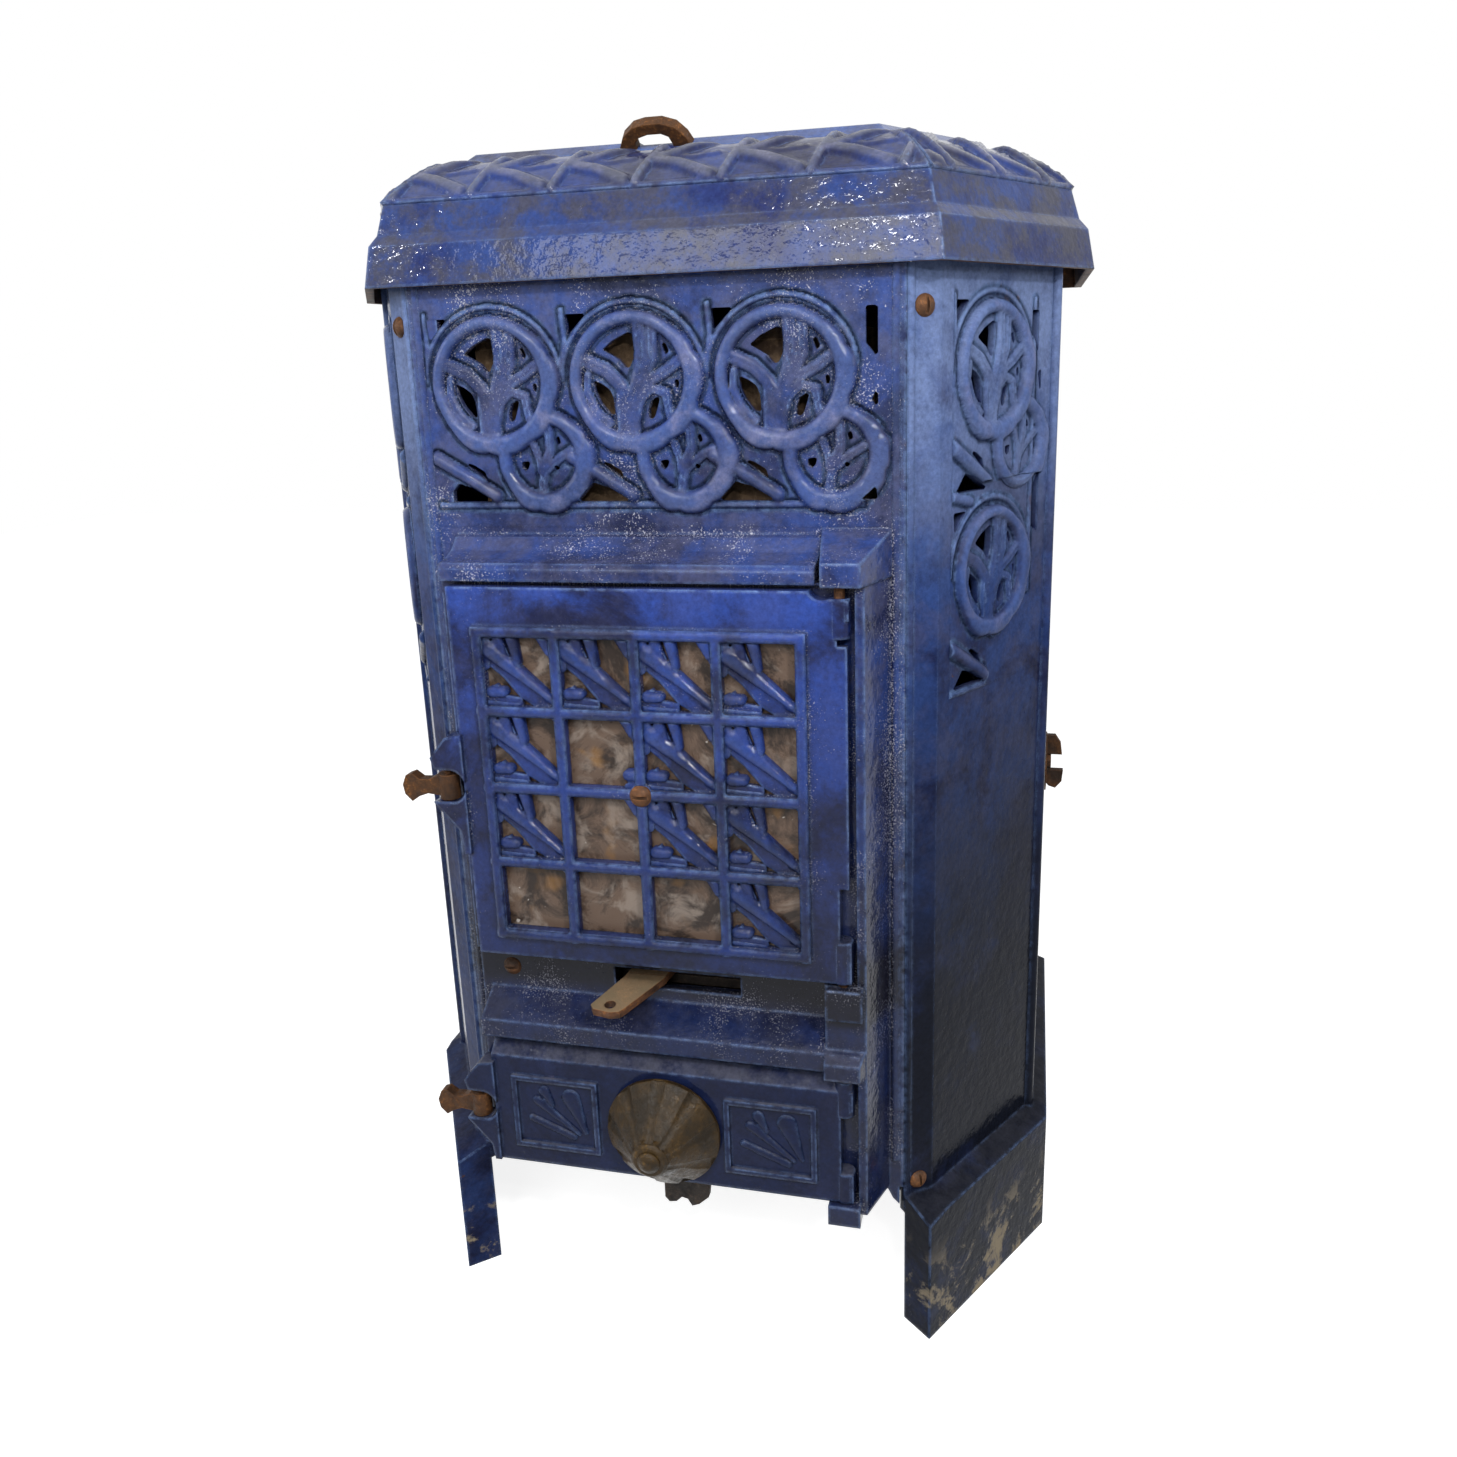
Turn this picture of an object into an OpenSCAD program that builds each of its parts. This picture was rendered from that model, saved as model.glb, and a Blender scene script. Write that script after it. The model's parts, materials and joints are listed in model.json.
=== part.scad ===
// Room stove, cast iron, enamelled: fluted-frieze casing with splayed sides, a fire
// door with mica panes, an ash door with an air regulator, a loose top plate, and the
// firebox, grate and ash pan inside. Millimetres, +Z up, front towards -Y.

/* [Casing] */
// width across the two side castings at their widest
body_w = 444; // [400:1:540]
// width of the flat front plate between the corner pillars
front_w = 286; // [280:1:330]
// depth from the face of the front plate to the back of the back plate
body_d = 338; // [310:1:420]
// height of the lower edge of the cornice above the floor
body_h = 657; // [640:1:760]
// angle of the splayed panels away from straight back
splay = 30; // [20:1:40]
// thickness of the casing castings
wall = 5; // [4:0.5:7]
// height of the skirts that stand on the floor
skirt_h = 84; // [60:1:92]
// how far the skirts stand out past the panels
skirt_out = 15; // [10:0.5:18]

/* [Cornice] */
// how far the cornice reaches past the front plate
eave_front = 9.6; // [8:0.2:14]
// how far the cornice reaches past the side panels
eave_side = 13; // [10:0.5:18]
// how far the cornice reaches past the straight returns
eave_return = 18.5; // [14:0.5:24]
// how far the cornice reaches past the back plate
eave_back = 14; // [10:0.5:20]
// width of the sloping decorated roof of the cornice
roof_w = 47; // [40:1:54]
// thickness of the loose top plate
top_t = 7; // [5:0.5:10]

/* [Doors] */
// width of both doors
door_w = 234; // [226:1:240]
// height of the fire door
fire_door_h = 232; // [220:1:236]
// height of the ash door
ash_door_h = 84; // [76:1:86]
// thickness of the door castings
door_t = 11; // [9:0.5:12]
// pitch of the window grid of the fire door
grid_pitch = 47.5; // [44:0.5:49]
// width of the bars of that grid
bar_w = 6; // [4:0.5:8]
// diameter of the hinge pins
pin_d = 6; // [5:0.5:7]
// running clearance between a pin and its hole, on the radius
fit = 0.05; // [0.03:0.01:0.1]
// diameter of the air regulator
regulator_d = 73; // [60:1:76]

/* [Firebox] */
// half width of the firebox
fire_hw = 112; // [100:1:120]
// depth of the firebox
fire_d = 242; // [200:1:260]
// radius of the turning grate
grate_r = 88; // [70:1:92]
// outside diameter of the flue collar
flue_d = 111; // [90:1:125]

/* [Hidden] */
$fn = 48;
eps = 0.01;

// plan of one side: pillar foot of the line, pillar corner, widest corner, back corner
pil_x = 16.5; pil_y = 12;
A0 = [front_w/2, 0];
A1 = [front_w/2 + pil_x, pil_y];
A2 = [body_w/2, pil_y + (body_w/2 - A1[0])/tan(splay)];
A3 = [body_w/2, body_d];
top_z = body_h + 20;             // top of the casing walls, under the cornice
base_z = 100;                    // underside of the front plate and the floor of the casing
ring_z = body_h - 54;            // centre height of the frieze rings
ring_x = [-93, -9, 75];          // centres of the front rings
ring_in = 30; ring_out = 36.5;   // a big ring
small_in = 20; small_out = 27.5; // a small ring
small_at = [28, -42.5];          // from a big ring to its small ring
box_y = -30;                     // front of the door surround
seat_y = -21.7;                  // plane the doors close on
door_f = seat_y - 0.3 - door_t;  // face of the doors
hinge_x = 110; hinge_y = -28;
fd_x = -118.5; fd_z = 259;       // lower left corner of the fire door
ad_z = 109.5;                    // bottom of the ash door
grid_c = [-5.5, 370.6];          // centre of the window grid, where its screw is
grid_h = 2*grid_pitch;
latch_x = -130; latch_y = -29;
fl_z = 368; al_z = 148;          // heights of the two latches
reg_c = [-3.5, 147];
slot_z = 238.75; strip_y = -12;
reg_l = 32; collar_l = 45;
nose_y = door_f - 2 - reg_l - 3.9;  // front end of the regulator's spindle
mid_y = (body_d + collar_l + nose_y)/2;
fire_y = 20; fire_z = 232; fire_top = body_h - 35;
grate_y = fire_y + fire_d/2 - 8;
flue_z = body_h - 117;
shut = [230, 312];               // where the side shutter sits on the right return

function unit(p, q) = (q - p)/norm(q - p);
function nrm(p, q) = [unit(p, q)[1], -unit(p, q)[0]];
function miter(p, n, m, o) = p + o*(n + m)/(1 + n*m);
function offs(v, o) = [v[0] + o*nrm(v[0], v[1]), miter(v[1], nrm(v[0], v[1]), nrm(v[1], v[2]), o),
  miter(v[2], nrm(v[1], v[2]), nrm(v[2], v[3]), o), v[3] + o*nrm(v[2], v[3])];
function side_pts(o) = offs([A0, A1, A2, A3], o);
// outer plan of the skirt: its front corner stands forward of the pillar
S1 = A1 - 23*unit(A1, A2) + skirt_out*nrm(A1, A2);
S3 = A3 + [skirt_out*2/3, 0];
SKIRT = [A0 + [0.3, 0], S1, S1 + (S3[0] - S1[0])/sin(splay)*unit(A1, A2), S3];
plate_edge = [A0 - [0.4, 0], A0 - [0.5 + wall*nrm(A0, A1)[0]/abs(nrm(A0, A1)[1]), -wall]];
function rev(v) = [for (i = [len(v) - 1:-1:0]) v[i]];
function mirx(v) = [for (p = v) [-p[0], p[1]]];

blue = [0.13, 0.2, 0.5]; rust = [0.33, 0.22, 0.14]; iron = [0.25, 0.23, 0.22];
mica = [0.6, 0.5, 0.42, 0.6]; clay = [0.62, 0.5, 0.38];

module place() translate([0, -mid_y, 0]) children();
module both() { children(); mirror([1, 0, 0]) children(); }
module strip(out, in) polygon(concat(side_pts(out), rev(side_pts(in))));
// children drawn in (s, z) on the splayed panel, standing out along its normal
module on_panel(out = 0) multmatrix([
  [sin(splay), 0, cos(splay), A1[0] - 17*sin(splay) + out*cos(splay)],
  [cos(splay), 0, -sin(splay), A1[1] - 17*cos(splay) - out*sin(splay)],
  [0, 1, 0, 0], [0, 0, 0, 1]]) children();
// children drawn in (x, z), standing out towards -Y from the plane y
module on_front(y = 0) translate([0, y, 0]) rotate([90, 0, 0]) children();
module bar_x(x0, x1, pts) translate([x0, 0, 0]) rotate([90, 0, 90])
  linear_extrude(x1 - x0) polygon(pts);

// ---- frieze ----
module leaf_holes() {
  polygon([[-17, 16.3], [-11, 21], [-1.8, 25.2], [1.2, 24.7], [1.8, 19], [1.2, 11],
    [-1.2, 6.3], [-4, 6.3], [-8, 11], [-13.5, 14.2]]);
  polygon([[-23.4, 0.5], [-18, -2], [-13.5, -5.3], [-11.7, -10], [-11, -19.5],
    [-15.2, -18.4], [-19.9, -12.6], [-22.8, -6.3]]);
  polygon([[14, -9.5], [15.2, -11], [14, -15.3], [12.3, -20], [10.5, -22], [8.2, -21],
    [8.2, -16.8], [9.9, -12]]);
  polygon([[17.3, 19.5], [19.9, 19], [21.6, 15.3], [21.4, 12], [19.5, 12.8], [18.1, 16.3]]);
  polygon([[24, -1], [26.3, 0], [26.9, -3], [25.9, -6.4], [24.6, -5.3]]);
}
module small_holes() {
  polygon([[-14, -2], [-8.5, -1.5], [-9.8, -5.5], [-12, -7.5], [-14, -5.5]]);
  polygon([[6, -4.5], [9.5, -3.5], [9.5, -6], [7, -7.5]]);
  polygon([[7.5, 12], [10.5, 12], [11, 8], [8.5, 7.5]]);
}
module corner_holes(l) intersection() {
  union() {
    polygon([[-38, 36], [-25, 36], [-30, 31], [-37, 24]]);
    polygon([[-37, -67.5], [-27, -56.5], [-17, -59.5], [-3, -67.5]]);
    polygon([[-24, -43.5], [-16, -46], [-9.4, -50], [-7.7, -56], [-13.8, -51.5]]);
  }
  translate([l, -80]) square([90, 130]);
}
module rim(r0, r1, h) rotate_extrude() polygon([[r0, -1], [r0, h*0.35],
  [r0 + (r1 - r0)*0.3, h], [r0 + (r1 - r0)*0.7, h], [r1, h*0.35], [r1, -1]]);
module small_rim() difference() {
  translate([small_at[0], small_at[1], 0]) rim(small_in, small_out, 3.2);
  translate([0, 0, -5]) cylinder(r = ring_out - 2, h = 20);
}

module front_holes() {
  for (i = [0:2]) translate([ring_x[i], ring_z]) {
    leaf_holes();
    translate(small_at) small_holes();
    corner_holes(i == 0 ? -31.5 : -40);
  }
  translate([ring_x[2], ring_z]) {
    polygon([[46, 34], [52.5, 34], [52.5, 7], [46, 15]]);
    polygon([[49, -14], [52.5, -6], [52.5, -20]]);
    polygon([[43, -67], [52, -59], [52, -67]]);
  }
}
module surround_plan(in, yb) polygon([[-134 + in, yb], [-123.5 + in, box_y],
  [123.5 - in, box_y], [134 - in, yb]]);
module hollow(z0, z1, yf) translate([0, 0, z0]) linear_extrude(z1 - z0)
  polygon([[-129, wall + 1], [-128.5 - yf*0.344, yf], [128.5 + yf*0.344, yf],
    [129, wall + 1]]);
hood_z = fd_z + fire_door_h + 3;
module front_body() {
  difference() {
    union() {
      translate([0, 0, base_z]) linear_extrude(top_z - base_z) polygon(concat(plate_edge,
        rev(mirx(plate_edge))));
      translate([0, 0, base_z]) linear_extrude(hood_z + 1 - base_z) surround_plan(0, 1);
      // beads along both edges of the plate
      both() translate([front_w/2 - 6, 0.5, base_z + 20]) cylinder(r = 2.4, h = top_z - base_z - 25);
      // hood over the fire door
      bar_x(-123, 97, [[0.5, hood_z + 23], [-5, hood_z + 21.5], [-12, hood_z + 15],
        [-20, hood_z + 11.5], [-29, hood_z + 10], [-31, hood_z + 7], [-31, hood_z],
        [0.5, hood_z]]);
      intersection() {
        translate([0, 0, hood_z]) linear_extrude(30)
          polygon([[96, 1], [101, -38], [122.5, -38], [136, 1]]);
        bar_x(90, 140, [[2, hood_z + 27], [-40, hood_z + 12], [-40, hood_z], [2, hood_z]]);
      }
      for (i = [0:2]) on_front() translate([ring_x[i], ring_z, 0]) {
        rim(ring_in, ring_out, 3.6);
        small_rim();
      }
      // lugs behind the pillars for the corner screws
      both() for (z = [base_z + 3, body_h - 21]) translate([0, 0, z - 9]) linear_extrude(18)
        polygon([[front_w/2 - 14, wall - 0.5], [front_w/2 - 4.3, wall - 0.5],
          A0 - (wall + 0.05)*nrm(A0, A1) + unit(A0, A1),
          A1 - (wall + 0.05)*nrm(A0, A1) - 6*unit(A0, A1),
          A1 - (wall + 6)*nrm(A0, A1) - 6*unit(A0, A1), [front_w/2 - 14, wall + 6]]);
    }
    // room for the fire door, the strip under it and the ash door
    translate([-150, -60, fd_z - 3]) cube([150 + 118.5, 60 + seat_y, fire_door_h + 6]);
    translate([-150, -60, 211]) cube([150 + 99, 60 + strip_y, fd_z - 3 - 211 + eps]);
    translate([-150, -60, 90]) cube([150 + 118.5, 60 + seat_y, 197 - 90 + 2]);
    // hollow behind, open at the back
    hollow(fd_z + 4, hood_z - 5, seat_y + 6);
    hollow(227, fd_z - 4, strip_y + 5.5);
    hollow(base_z + 6, 196, seat_y + 6);
    bar_x(-118, 118, [[wall + 1, 219], [strip_y + 2, 217], [-26, 208], [-26, 205],
      [wall + 1, 205]]);
    // openings
    translate([grid_c[0] - grid_h + 1, -24, grid_c[1] - grid_h + 1]) cube([2*grid_h - 2, 12, 2*grid_h - 2]);
    translate([-98, -24, 120]) cube([196, 12, 68]);
    translate([-38, strip_y - 2, slot_z - 6.25]) cube([81.5, 10, 12.5]);
    on_front(wall + 1) linear_extrude(wall + 3) front_holes();
    // holes for the corner screws and the strip screw
    both() for (z = [base_z + 3, body_h - 21]) pillar_screw_at(z) cylinder(r = 2.9, h = 60, center = true);
    strip_screw_at() translate([0, 0, -20]) cylinder(r = 2.9, h = 40);
  }
  // lower ledge with the hinge blocks
  difference() {
    union() {
      bar_x(-123, 120, [[0.5, 226], [strip_y, 224.5], [-33, 211.5], [-33, 199.5],
        [-21.7, 199.5], [-21.7, 197], [0.5, 197]]);
      intersection() {
        translate([0, 0, 197]) linear_extrude(40)
          polygon([[99, 1], [99, -38], [120.5, -38], [133, 1]]);
        bar_x(90, 140, [[2, 237], [-40, 206], [-40, 197], [2, 197]]);
      }
      translate([100, -36, 236]) cube([22, 36, 19.5]);
      translate([100, -36, 94.5]) cube([20, 24, base_z - 94.5 + 4]);
      translate([100, -36, 94.5]) cube([20, 24, ad_z - 2 - 94.5]);
      both() on_front(3) linear_extrude(3) polygon([[front_w/2 - 12, base_z + 1],
        [front_w/2 - 3, base_z + 1], [front_w/2 - 3, base_z - 13], [front_w/2 - 7, base_z - 9]]);
    }
    bar_x(-118, 118, [[wall + 1, 219], [strip_y + 2, 217], [-26, 208], [-26, 205],
      [wall + 1, 205]]);
    hollow(227, fd_z - 4, strip_y + 5.5);
  }
}
module front_plate() color(blue) place() difference() {
  front_body();
  // pin holes
  for (z = [[hood_z - 3, 12], [245, fd_z - 245], [190, 13], [98, ad_z - 98]])
    translate([hinge_x, hinge_y, z[0]]) cylinder(r = pin_d/2 + fit, h = z[1]);
}

// ---- side castings ----
module pillar_screw_at(z) {
  p = (A0 + A1)/2; a = atan2(nrm(A0, A1)[1], nrm(A0, A1)[0]);
  translate([p[0], p[1], z]) rotate([0, 0, a]) rotate([0, 90, 0]) children();
}
module strip_screw_at() translate([-108, strip_y, 239]) rotate([90, 0, 0]) children();
module side_holes() {
  translate([68.6, ring_z]) { leaf_holes(); translate(small_at) small_holes(); }
  translate([69.5, ring_z - 114]) leaf_holes();
  for (z = [0, -114]) translate([68.6, ring_z + z]) corner_holes(-39);
  polygon([[109, ring_z + 31], [117, ring_z + 31], [117, ring_z + 6], [109, ring_z + 18]]);
  polygon([[117, ring_z - 4], [121, ring_z - 2], [121, ring_z - 20]]);
  polygon([[113, ring_z - 72], [122, ring_z - 60], [122, ring_z - 99], [113, ring_z - 94]]);
}
module shoulder(ang, d) wedge(ang, d, [[far, 0], [60, 0], [60, skirt_h - 14], [0, skirt_h + 10],
  [far, skirt_h + 10]]);
module side_casting() difference() {
  union() {
    translate([0, 0, skirt_h]) linear_extrude(top_z - skirt_h) strip(0, -wall);
    linear_extrude(skirt_h) polygon(concat(SKIRT, rev(offs(SKIRT, -wall))));
    // sloping shoulder between the skirt and the panels
    intersection() {
      translate([0, 0, skirt_h - 3]) linear_extrude(14)
        polygon(concat(SKIRT, rev(side_pts(-wall))));
      shoulder(-splay, nrm(A1, A2)*A1);
      shoulder(0, body_w/2);
      shoulder(atan2(nrm(A0, A1)[1], nrm(A0, A1)[0]), nrm(A0, A1)*A1);
    }
    // shelf for the base plate and flange for the back plate
    intersection() {
      translate([0, 0, base_z]) linear_extrude(6) strip(-wall + 0.1, -wall - 9);
      translate([0, 27, 0]) cube([body_w, body_d - 27, base_z + 9]);
    }
    translate([body_w/2 - wall - 15, body_d - 12, base_z]) cube([15.5, 6, top_z - base_z - 2]);
    // beads on the pillar and at the end of the panel
    p = A0 + 2.5*unit(A0, A1) - 1.2*nrm(A0, A1);
    translate([p[0], p[1], base_z - 10]) cylinder(r = 2.3, h = top_z - base_z + 8);
    q = A2 - 6*unit(A1, A2) - 0.6*nrm(A1, A2);
    translate([q[0], q[1], skirt_h - 1]) cylinder(r = 3.9, h = top_z - skirt_h - 1);
    on_panel() {
      translate([68.6, ring_z, 0]) { rim(ring_in, ring_out, 3.6); small_rim(); }
      translate([69.5, ring_z - 114, 0]) rim(ring_in, ring_out, 3.6);
    }
  }
  on_panel(-wall - 2) linear_extrude(wall + 4) side_holes();
  for (z = [base_z + 3, body_h - 21]) pillar_screw_at(z) cylinder(r = 2.9, h = 60, center = true);
  for (z = [130, 380, 640]) translate([body_w/2 - wall - 8, body_d - 20, z])
    rotate([-90, 0, 0]) cylinder(r = 2.4, h = 30);
}
module right_side() color(blue) place() difference() {
  side_casting();
  // air port under the side shutter, and the hole for its screw
  translate([body_w/2 - wall - 5, shut[0], shut[1]]) rotate([0, 90, 0]) {
    cylinder(r = 2.9, h = 20);
    for (a = [0, 180]) rotate([0, 0, a]) translate([12, 0, 0]) cylinder(r = 5, h = 20);
  }
}
module left_side() color(blue) place() mirror([1, 0, 0]) side_casting();

module back_plate() color(blue) place() difference() {
  translate([-body_w/2 + wall + 0.4, body_d - 6, base_z + 6.3])
    cube([body_w - 2*wall - 0.8, 6, top_z - base_z - 6.3]);
  translate([0, body_d - 20, flue_z]) rotate([-90, 0, 0]) cylinder(r = flue_d/2 + 1, h = 30);
  both() for (z = [130, 380, 640]) translate([body_w/2 - wall - 8, body_d - 20, z])
    rotate([-90, 0, 0]) cylinder(r = 2.4, h = 30);
  for (a = [90, 210, 330]) translate([0, body_d - 20, flue_z]) rotate([-90, 0, 0])
    rotate([0, 0, a]) translate([flue_d/2 + 11, 0, 0]) cylinder(r = 2.4, h = 30);
}
module base_plate() color(iron) place() {
  in = side_pts(-wall - 0.6);
  yb = body_d - 12.4;
  b = side_pts(-wall - 9)[1];
  half = [[front_w/2 - 17, wall + 1.4], [front_w/2 - 17, wall + 7.5], b,
    in[1] + 13*unit(A1, A2), in[2], [in[3][0], yb]];
  translate([0, 0, base_z + 6]) linear_extrude(6) polygon(concat(half, rev(mirx(half))));
  // forked lug hanging under the front edge
  translate([-21, 10, 0]) rotate([90, 0, 0]) mirror([0, 0, 1]) linear_extrude(5)
    polygon([[0, base_z + 6.5], [0, 60], [3, 56.5], [8, 57.5], [12, 61.5], [16, 60.5],
      [19, 55.5], [24, 57.5], [31, 64], [32, 72], [32, base_z + 6.5]]);
}

// ---- cornice ----
far = -900;
module wedge(ang, d, prof) rotate([0, 0, ang]) translate([d, 0, 0]) rotate([90, 0, 0])
  linear_extrude(1400, center = true) polygon(prof);
// convex ring of planes: the same profile carried round the six sides of the cornice
module carried(prof) {
  yc = body_d/2;
  dn = nrm(A1, A2)*(A1 - [0, yc]) + eave_side;
  translate([0, yc, 0]) intersection() {
    wedge(-90, yc + eave_front, prof);
    wedge(-splay, dn, prof);
    wedge(180 + splay, dn, prof);
    wedge(0, body_w/2 + eave_return, prof);
    wedge(180, body_w/2 + eave_return, prof);
    wedge(90, body_d - yc + eave_back, prof);
  }
}
roof_0 = [-14.8, body_h + 45];
roof_1 = [-14.8 - roof_w, body_h + 70.5];
function roof(t) = roof_0 + [(roof_1[0] - roof_0[0])*t, (roof_1[1] - roof_0[1])*(1 - pow(1 - t, 1.7))];
module top_cover() color(blue) place() difference() {
  carried(concat([[far, body_h], [0, body_h], [-4.4, body_h + 22.5], [-9.7, body_h + 28.5],
    roof_0], [for (t = [0.2:0.2:0.8]) roof(t)], [roof_1, [far, roof_1[1]]]));
  carried([[far, body_h - 1], [-5, body_h - 1], [-5, body_h + 3], [-6.5, top_z - 0.01 + 0.01],
    [far, top_z]]);
  carried([[far, top_z - 1], [-26, top_z - 1], [-26, body_h + 43], [roof_1[0] + 4, body_h + 64],
    [far, body_h + 64]]);
  carried([[far, body_h + 60], [roof_1[0] - 9, body_h + 60], [roof_1[0] - 9, body_h + 90],
    [far, body_h + 90]]);
}
module top_plate() color(blue) place() {
  e = roof_1[0]; z = roof_1[1];
  difference() {
    union() {
      carried([[far, z], [e - 1, z], [e - 2, z + 1.5], [e - 1 - 1.3*top_t, z + top_t],
        [far, z + top_t]]);
      carried([[far, z - 6], [e - 10.2, z - 6], [e - 10.2, z + 1], [far, z + 1]]);
    }
    // finger recess behind the lifting loop
    translate([-18.5, 40, z + 4.6]) cube([22, 38, 10]);
    carried([[far, z - 7], [e - 16, z - 7], [e - 16, z + 1], [far, z + 1]]);
  }
}
// the bare-iron lifting loop on the front bevel of the top plate, leaning forward
module top_handle() color(rust) place() translate([-6, 57, roof_1[1] + 5])
  rotate([135, 0, 0]) difference() {
    translate([0, 0, -3.5]) linear_extrude(7) polygon([[-21, 1], [-18, 7], [-11, 12.6],
      [-4, 14.2], [6, 14.2], [14, 11], [19, 4.5], [21.5, -2.5], [-20.5, -2.5]]);
    translate([0, 0, -5]) linear_extrude(10) polygon([[-11, -5], [-11.5, 2.6], [-8.5, 6.2],
      [-3, 7.8], [5, 7.8], [9, 5.6], [10.5, 0.8], [9.5, -5]]);
  }

// ---- fire door ----
module cell(i, j) translate([grid_c[0] - grid_h + i*grid_pitch + bar_w/2,
  grid_c[1] - grid_h + j*grid_pitch + bar_w/2]) square(grid_pitch - bar_w);
module leaf_in(i, j) translate([grid_c[0] - grid_h + i*grid_pitch, grid_c[1] - grid_h + j*grid_pitch]) {
  c = grid_pitch/48;
  scale(c) polygon([[2, 30], [9, 41], [15, 42], [20, 30], [31, 17], [46, 10], [46, 2],
    [34, 2], [24, 8], [14, 20]]);
  scale(c) polygon([[2, 2], [2, 12], [9, 16], [15, 9], [25, 8], [25, 2]]);
}
LEAVES = [[0, 3], [1, 3], [2, 3], [3, 3], [0, 2], [2, 2], [3, 2], [0, 1], [2, 1], [3, 1],
  [3, 0]];
module knuckle(z0, z1) translate([hinge_x, hinge_y, z0]) cylinder(r = 6, h = z1 - z0);
// ears that carry a latch, cast on the edge of a door and hollowed round its barrel
module latch_ears(z, low = -42) difference() {
  on_front(-22.4) linear_extrude(door_t + 2.6) translate([latch_x, z]) difference() {
    polygon([[fd_x - latch_x + 2, 34], [2.7, 32], [-4, 24], [-8, 19], [-6, 12.5], [-6, 0],
      [-8.3, -8], [-7.2, -10.4], [7.6, -27], [9.4, low], [fd_x - latch_x + 2, low]]);
    translate([3.5, 1.5]) circle(r = 10.3);
    translate([-20, -8.8]) square([23.5, 20.6]);
  }
  translate([latch_x, latch_y, z - 30]) cylinder(r = 2.5, h = 60);
}
module fire_door() color(blue) place() {
  difference() {
    union() {
      translate([fd_x, door_f, fd_z]) cube([109 - fd_x, door_t, fire_door_h]);
      translate([100, door_f, fd_z]) cube([door_w + fd_x - 100, 5, 26]);
      translate([100, door_f, fd_z + 60]) cube([door_w + fd_x - 100 - 1, 5, fire_door_h - 90]);
      translate([100, door_f, fd_z + fire_door_h - 16]) cube([door_w + fd_x - 100, 5, 11]);
      knuckle(fd_z, fd_z + 26); knuckle(fd_z + fire_door_h - 26, fd_z + fire_door_h - 4);
      // raised frame and grid
      on_front(door_f + 1) linear_extrude(4) translate(grid_c)
        square(2*grid_h + bar_w, center = true);
      latch_ears(fl_z);
    }
    on_front(-20) linear_extrude(30) for (i = [0:3], j = [0:3]) cell(i, j);
    on_front(-21.5) linear_extrude(-21.5 + 29.5) translate(grid_c)
      square(2*grid_h + bar_w + 1, center = true);
    translate([latch_x - 12, -50, fl_z - 8.3]) cube([19.5, 40, 17]);
    // edge cut back between the knuckles at the top, as on the real edge
    translate([104, -60, fd_z + fire_door_h - 4]) cube([20, 60, 10]);
    on_front(-20) linear_extrude(30) translate([101, fd_z + fire_door_h + 3]) circle(r = 8);
    translate([hinge_x, hinge_y, fd_z - 5]) cylinder(r = pin_d/2, h = 25);
    translate([hinge_x, hinge_y, fd_z + fire_door_h - 24]) cylinder(r = pin_d/2, h = 30);
    translate([grid_c[0], 0, grid_c[1]]) rotate([90, 0, 0]) cylinder(r = 3, h = 60);
  }
  difference() {
    union() {
      on_front(-29.5) linear_extrude(3.5) for (c = LEAVES) leaf_in(c[0], c[1]);
      on_front(-29.5) linear_extrude(-door_f - 29.5 + 3) translate(grid_c) circle(r = 7);
    }
    translate([grid_c[0], 0, grid_c[1]]) rotate([90, 0, 0]) cylinder(r = 3, h = 60);
  }
}
module pane(i, j) color(mica) place() difference() {
  translate([grid_c[0] + (i - 1)*(grid_h + 1) + 0.3, -29.3, grid_c[1] + (j - 1)*(grid_h + 1) + 0.3])
    cube([grid_h + 0.4, 0.6, grid_h + 0.4]);
  translate([grid_c[0], 0, grid_c[1]]) rotate([90, 0, 0]) cylinder(r = 5, h = 60);
}
module mica_upper_left() pane(0, 1);
module mica_upper_right() pane(1, 1);
module mica_lower_left() pane(0, 0);
module mica_lower_right() pane(1, 0);
module mica_frame() color(rust) place() translate([grid_c[0], -25.7, grid_c[1]])
  rotate([90, 0, 0]) difference() {
    linear_extrude(2.9) difference() {
      square(2*grid_h + 5.6, center = true);
      for (i = [-1, 1], j = [-1, 1]) translate([i*(grid_h/2 - 0.5), j*(grid_h/2 - 0.5)])
        square(grid_h - 9, center = true);
    }
    translate([0, 0, -5]) cylinder(r = 3.1, h = 20);
  }
module mica_screw() color(rust) place() translate([grid_c[0], door_f - 3, grid_c[1]]) {
  difference() {
    intersection() {
      translate([0, 3.1, 0]) sphere(r = 8);
      translate([-8, -8, -8]) cube([16, 8, 16]);
      rotate([90, 0, 0]) translate([0, 0, -1]) cylinder(r = 6.5, h = 12);
    }
    translate([-9, -12, -0.9]) cube([18, 8.9, 1.8]);
  }
  rotate([-90, 0, 0]) translate([0, 0, -1]) cylinder(r = 3, h = -door_f + 3 - 22.3 + 1);
}
module mica_nut() color(rust) place() translate([grid_c[0], -25.7, grid_c[1]])
  rotate([-90, 0, 0]) difference() {
    cylinder(r = 6, h = 3.4, $fn = 6);
    translate([0, 0, -1]) cylinder(r = 3, h = 10);
  }
module fire_door_pins() color(rust) place() {
  translate([hinge_x, hinge_y, fd_z - 12]) cylinder(r = pin_d/2, h = 30);
  translate([hinge_x, hinge_y, fd_z + fire_door_h - 22]) cylinder(r = pin_d/2, h = 31);
}
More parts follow.
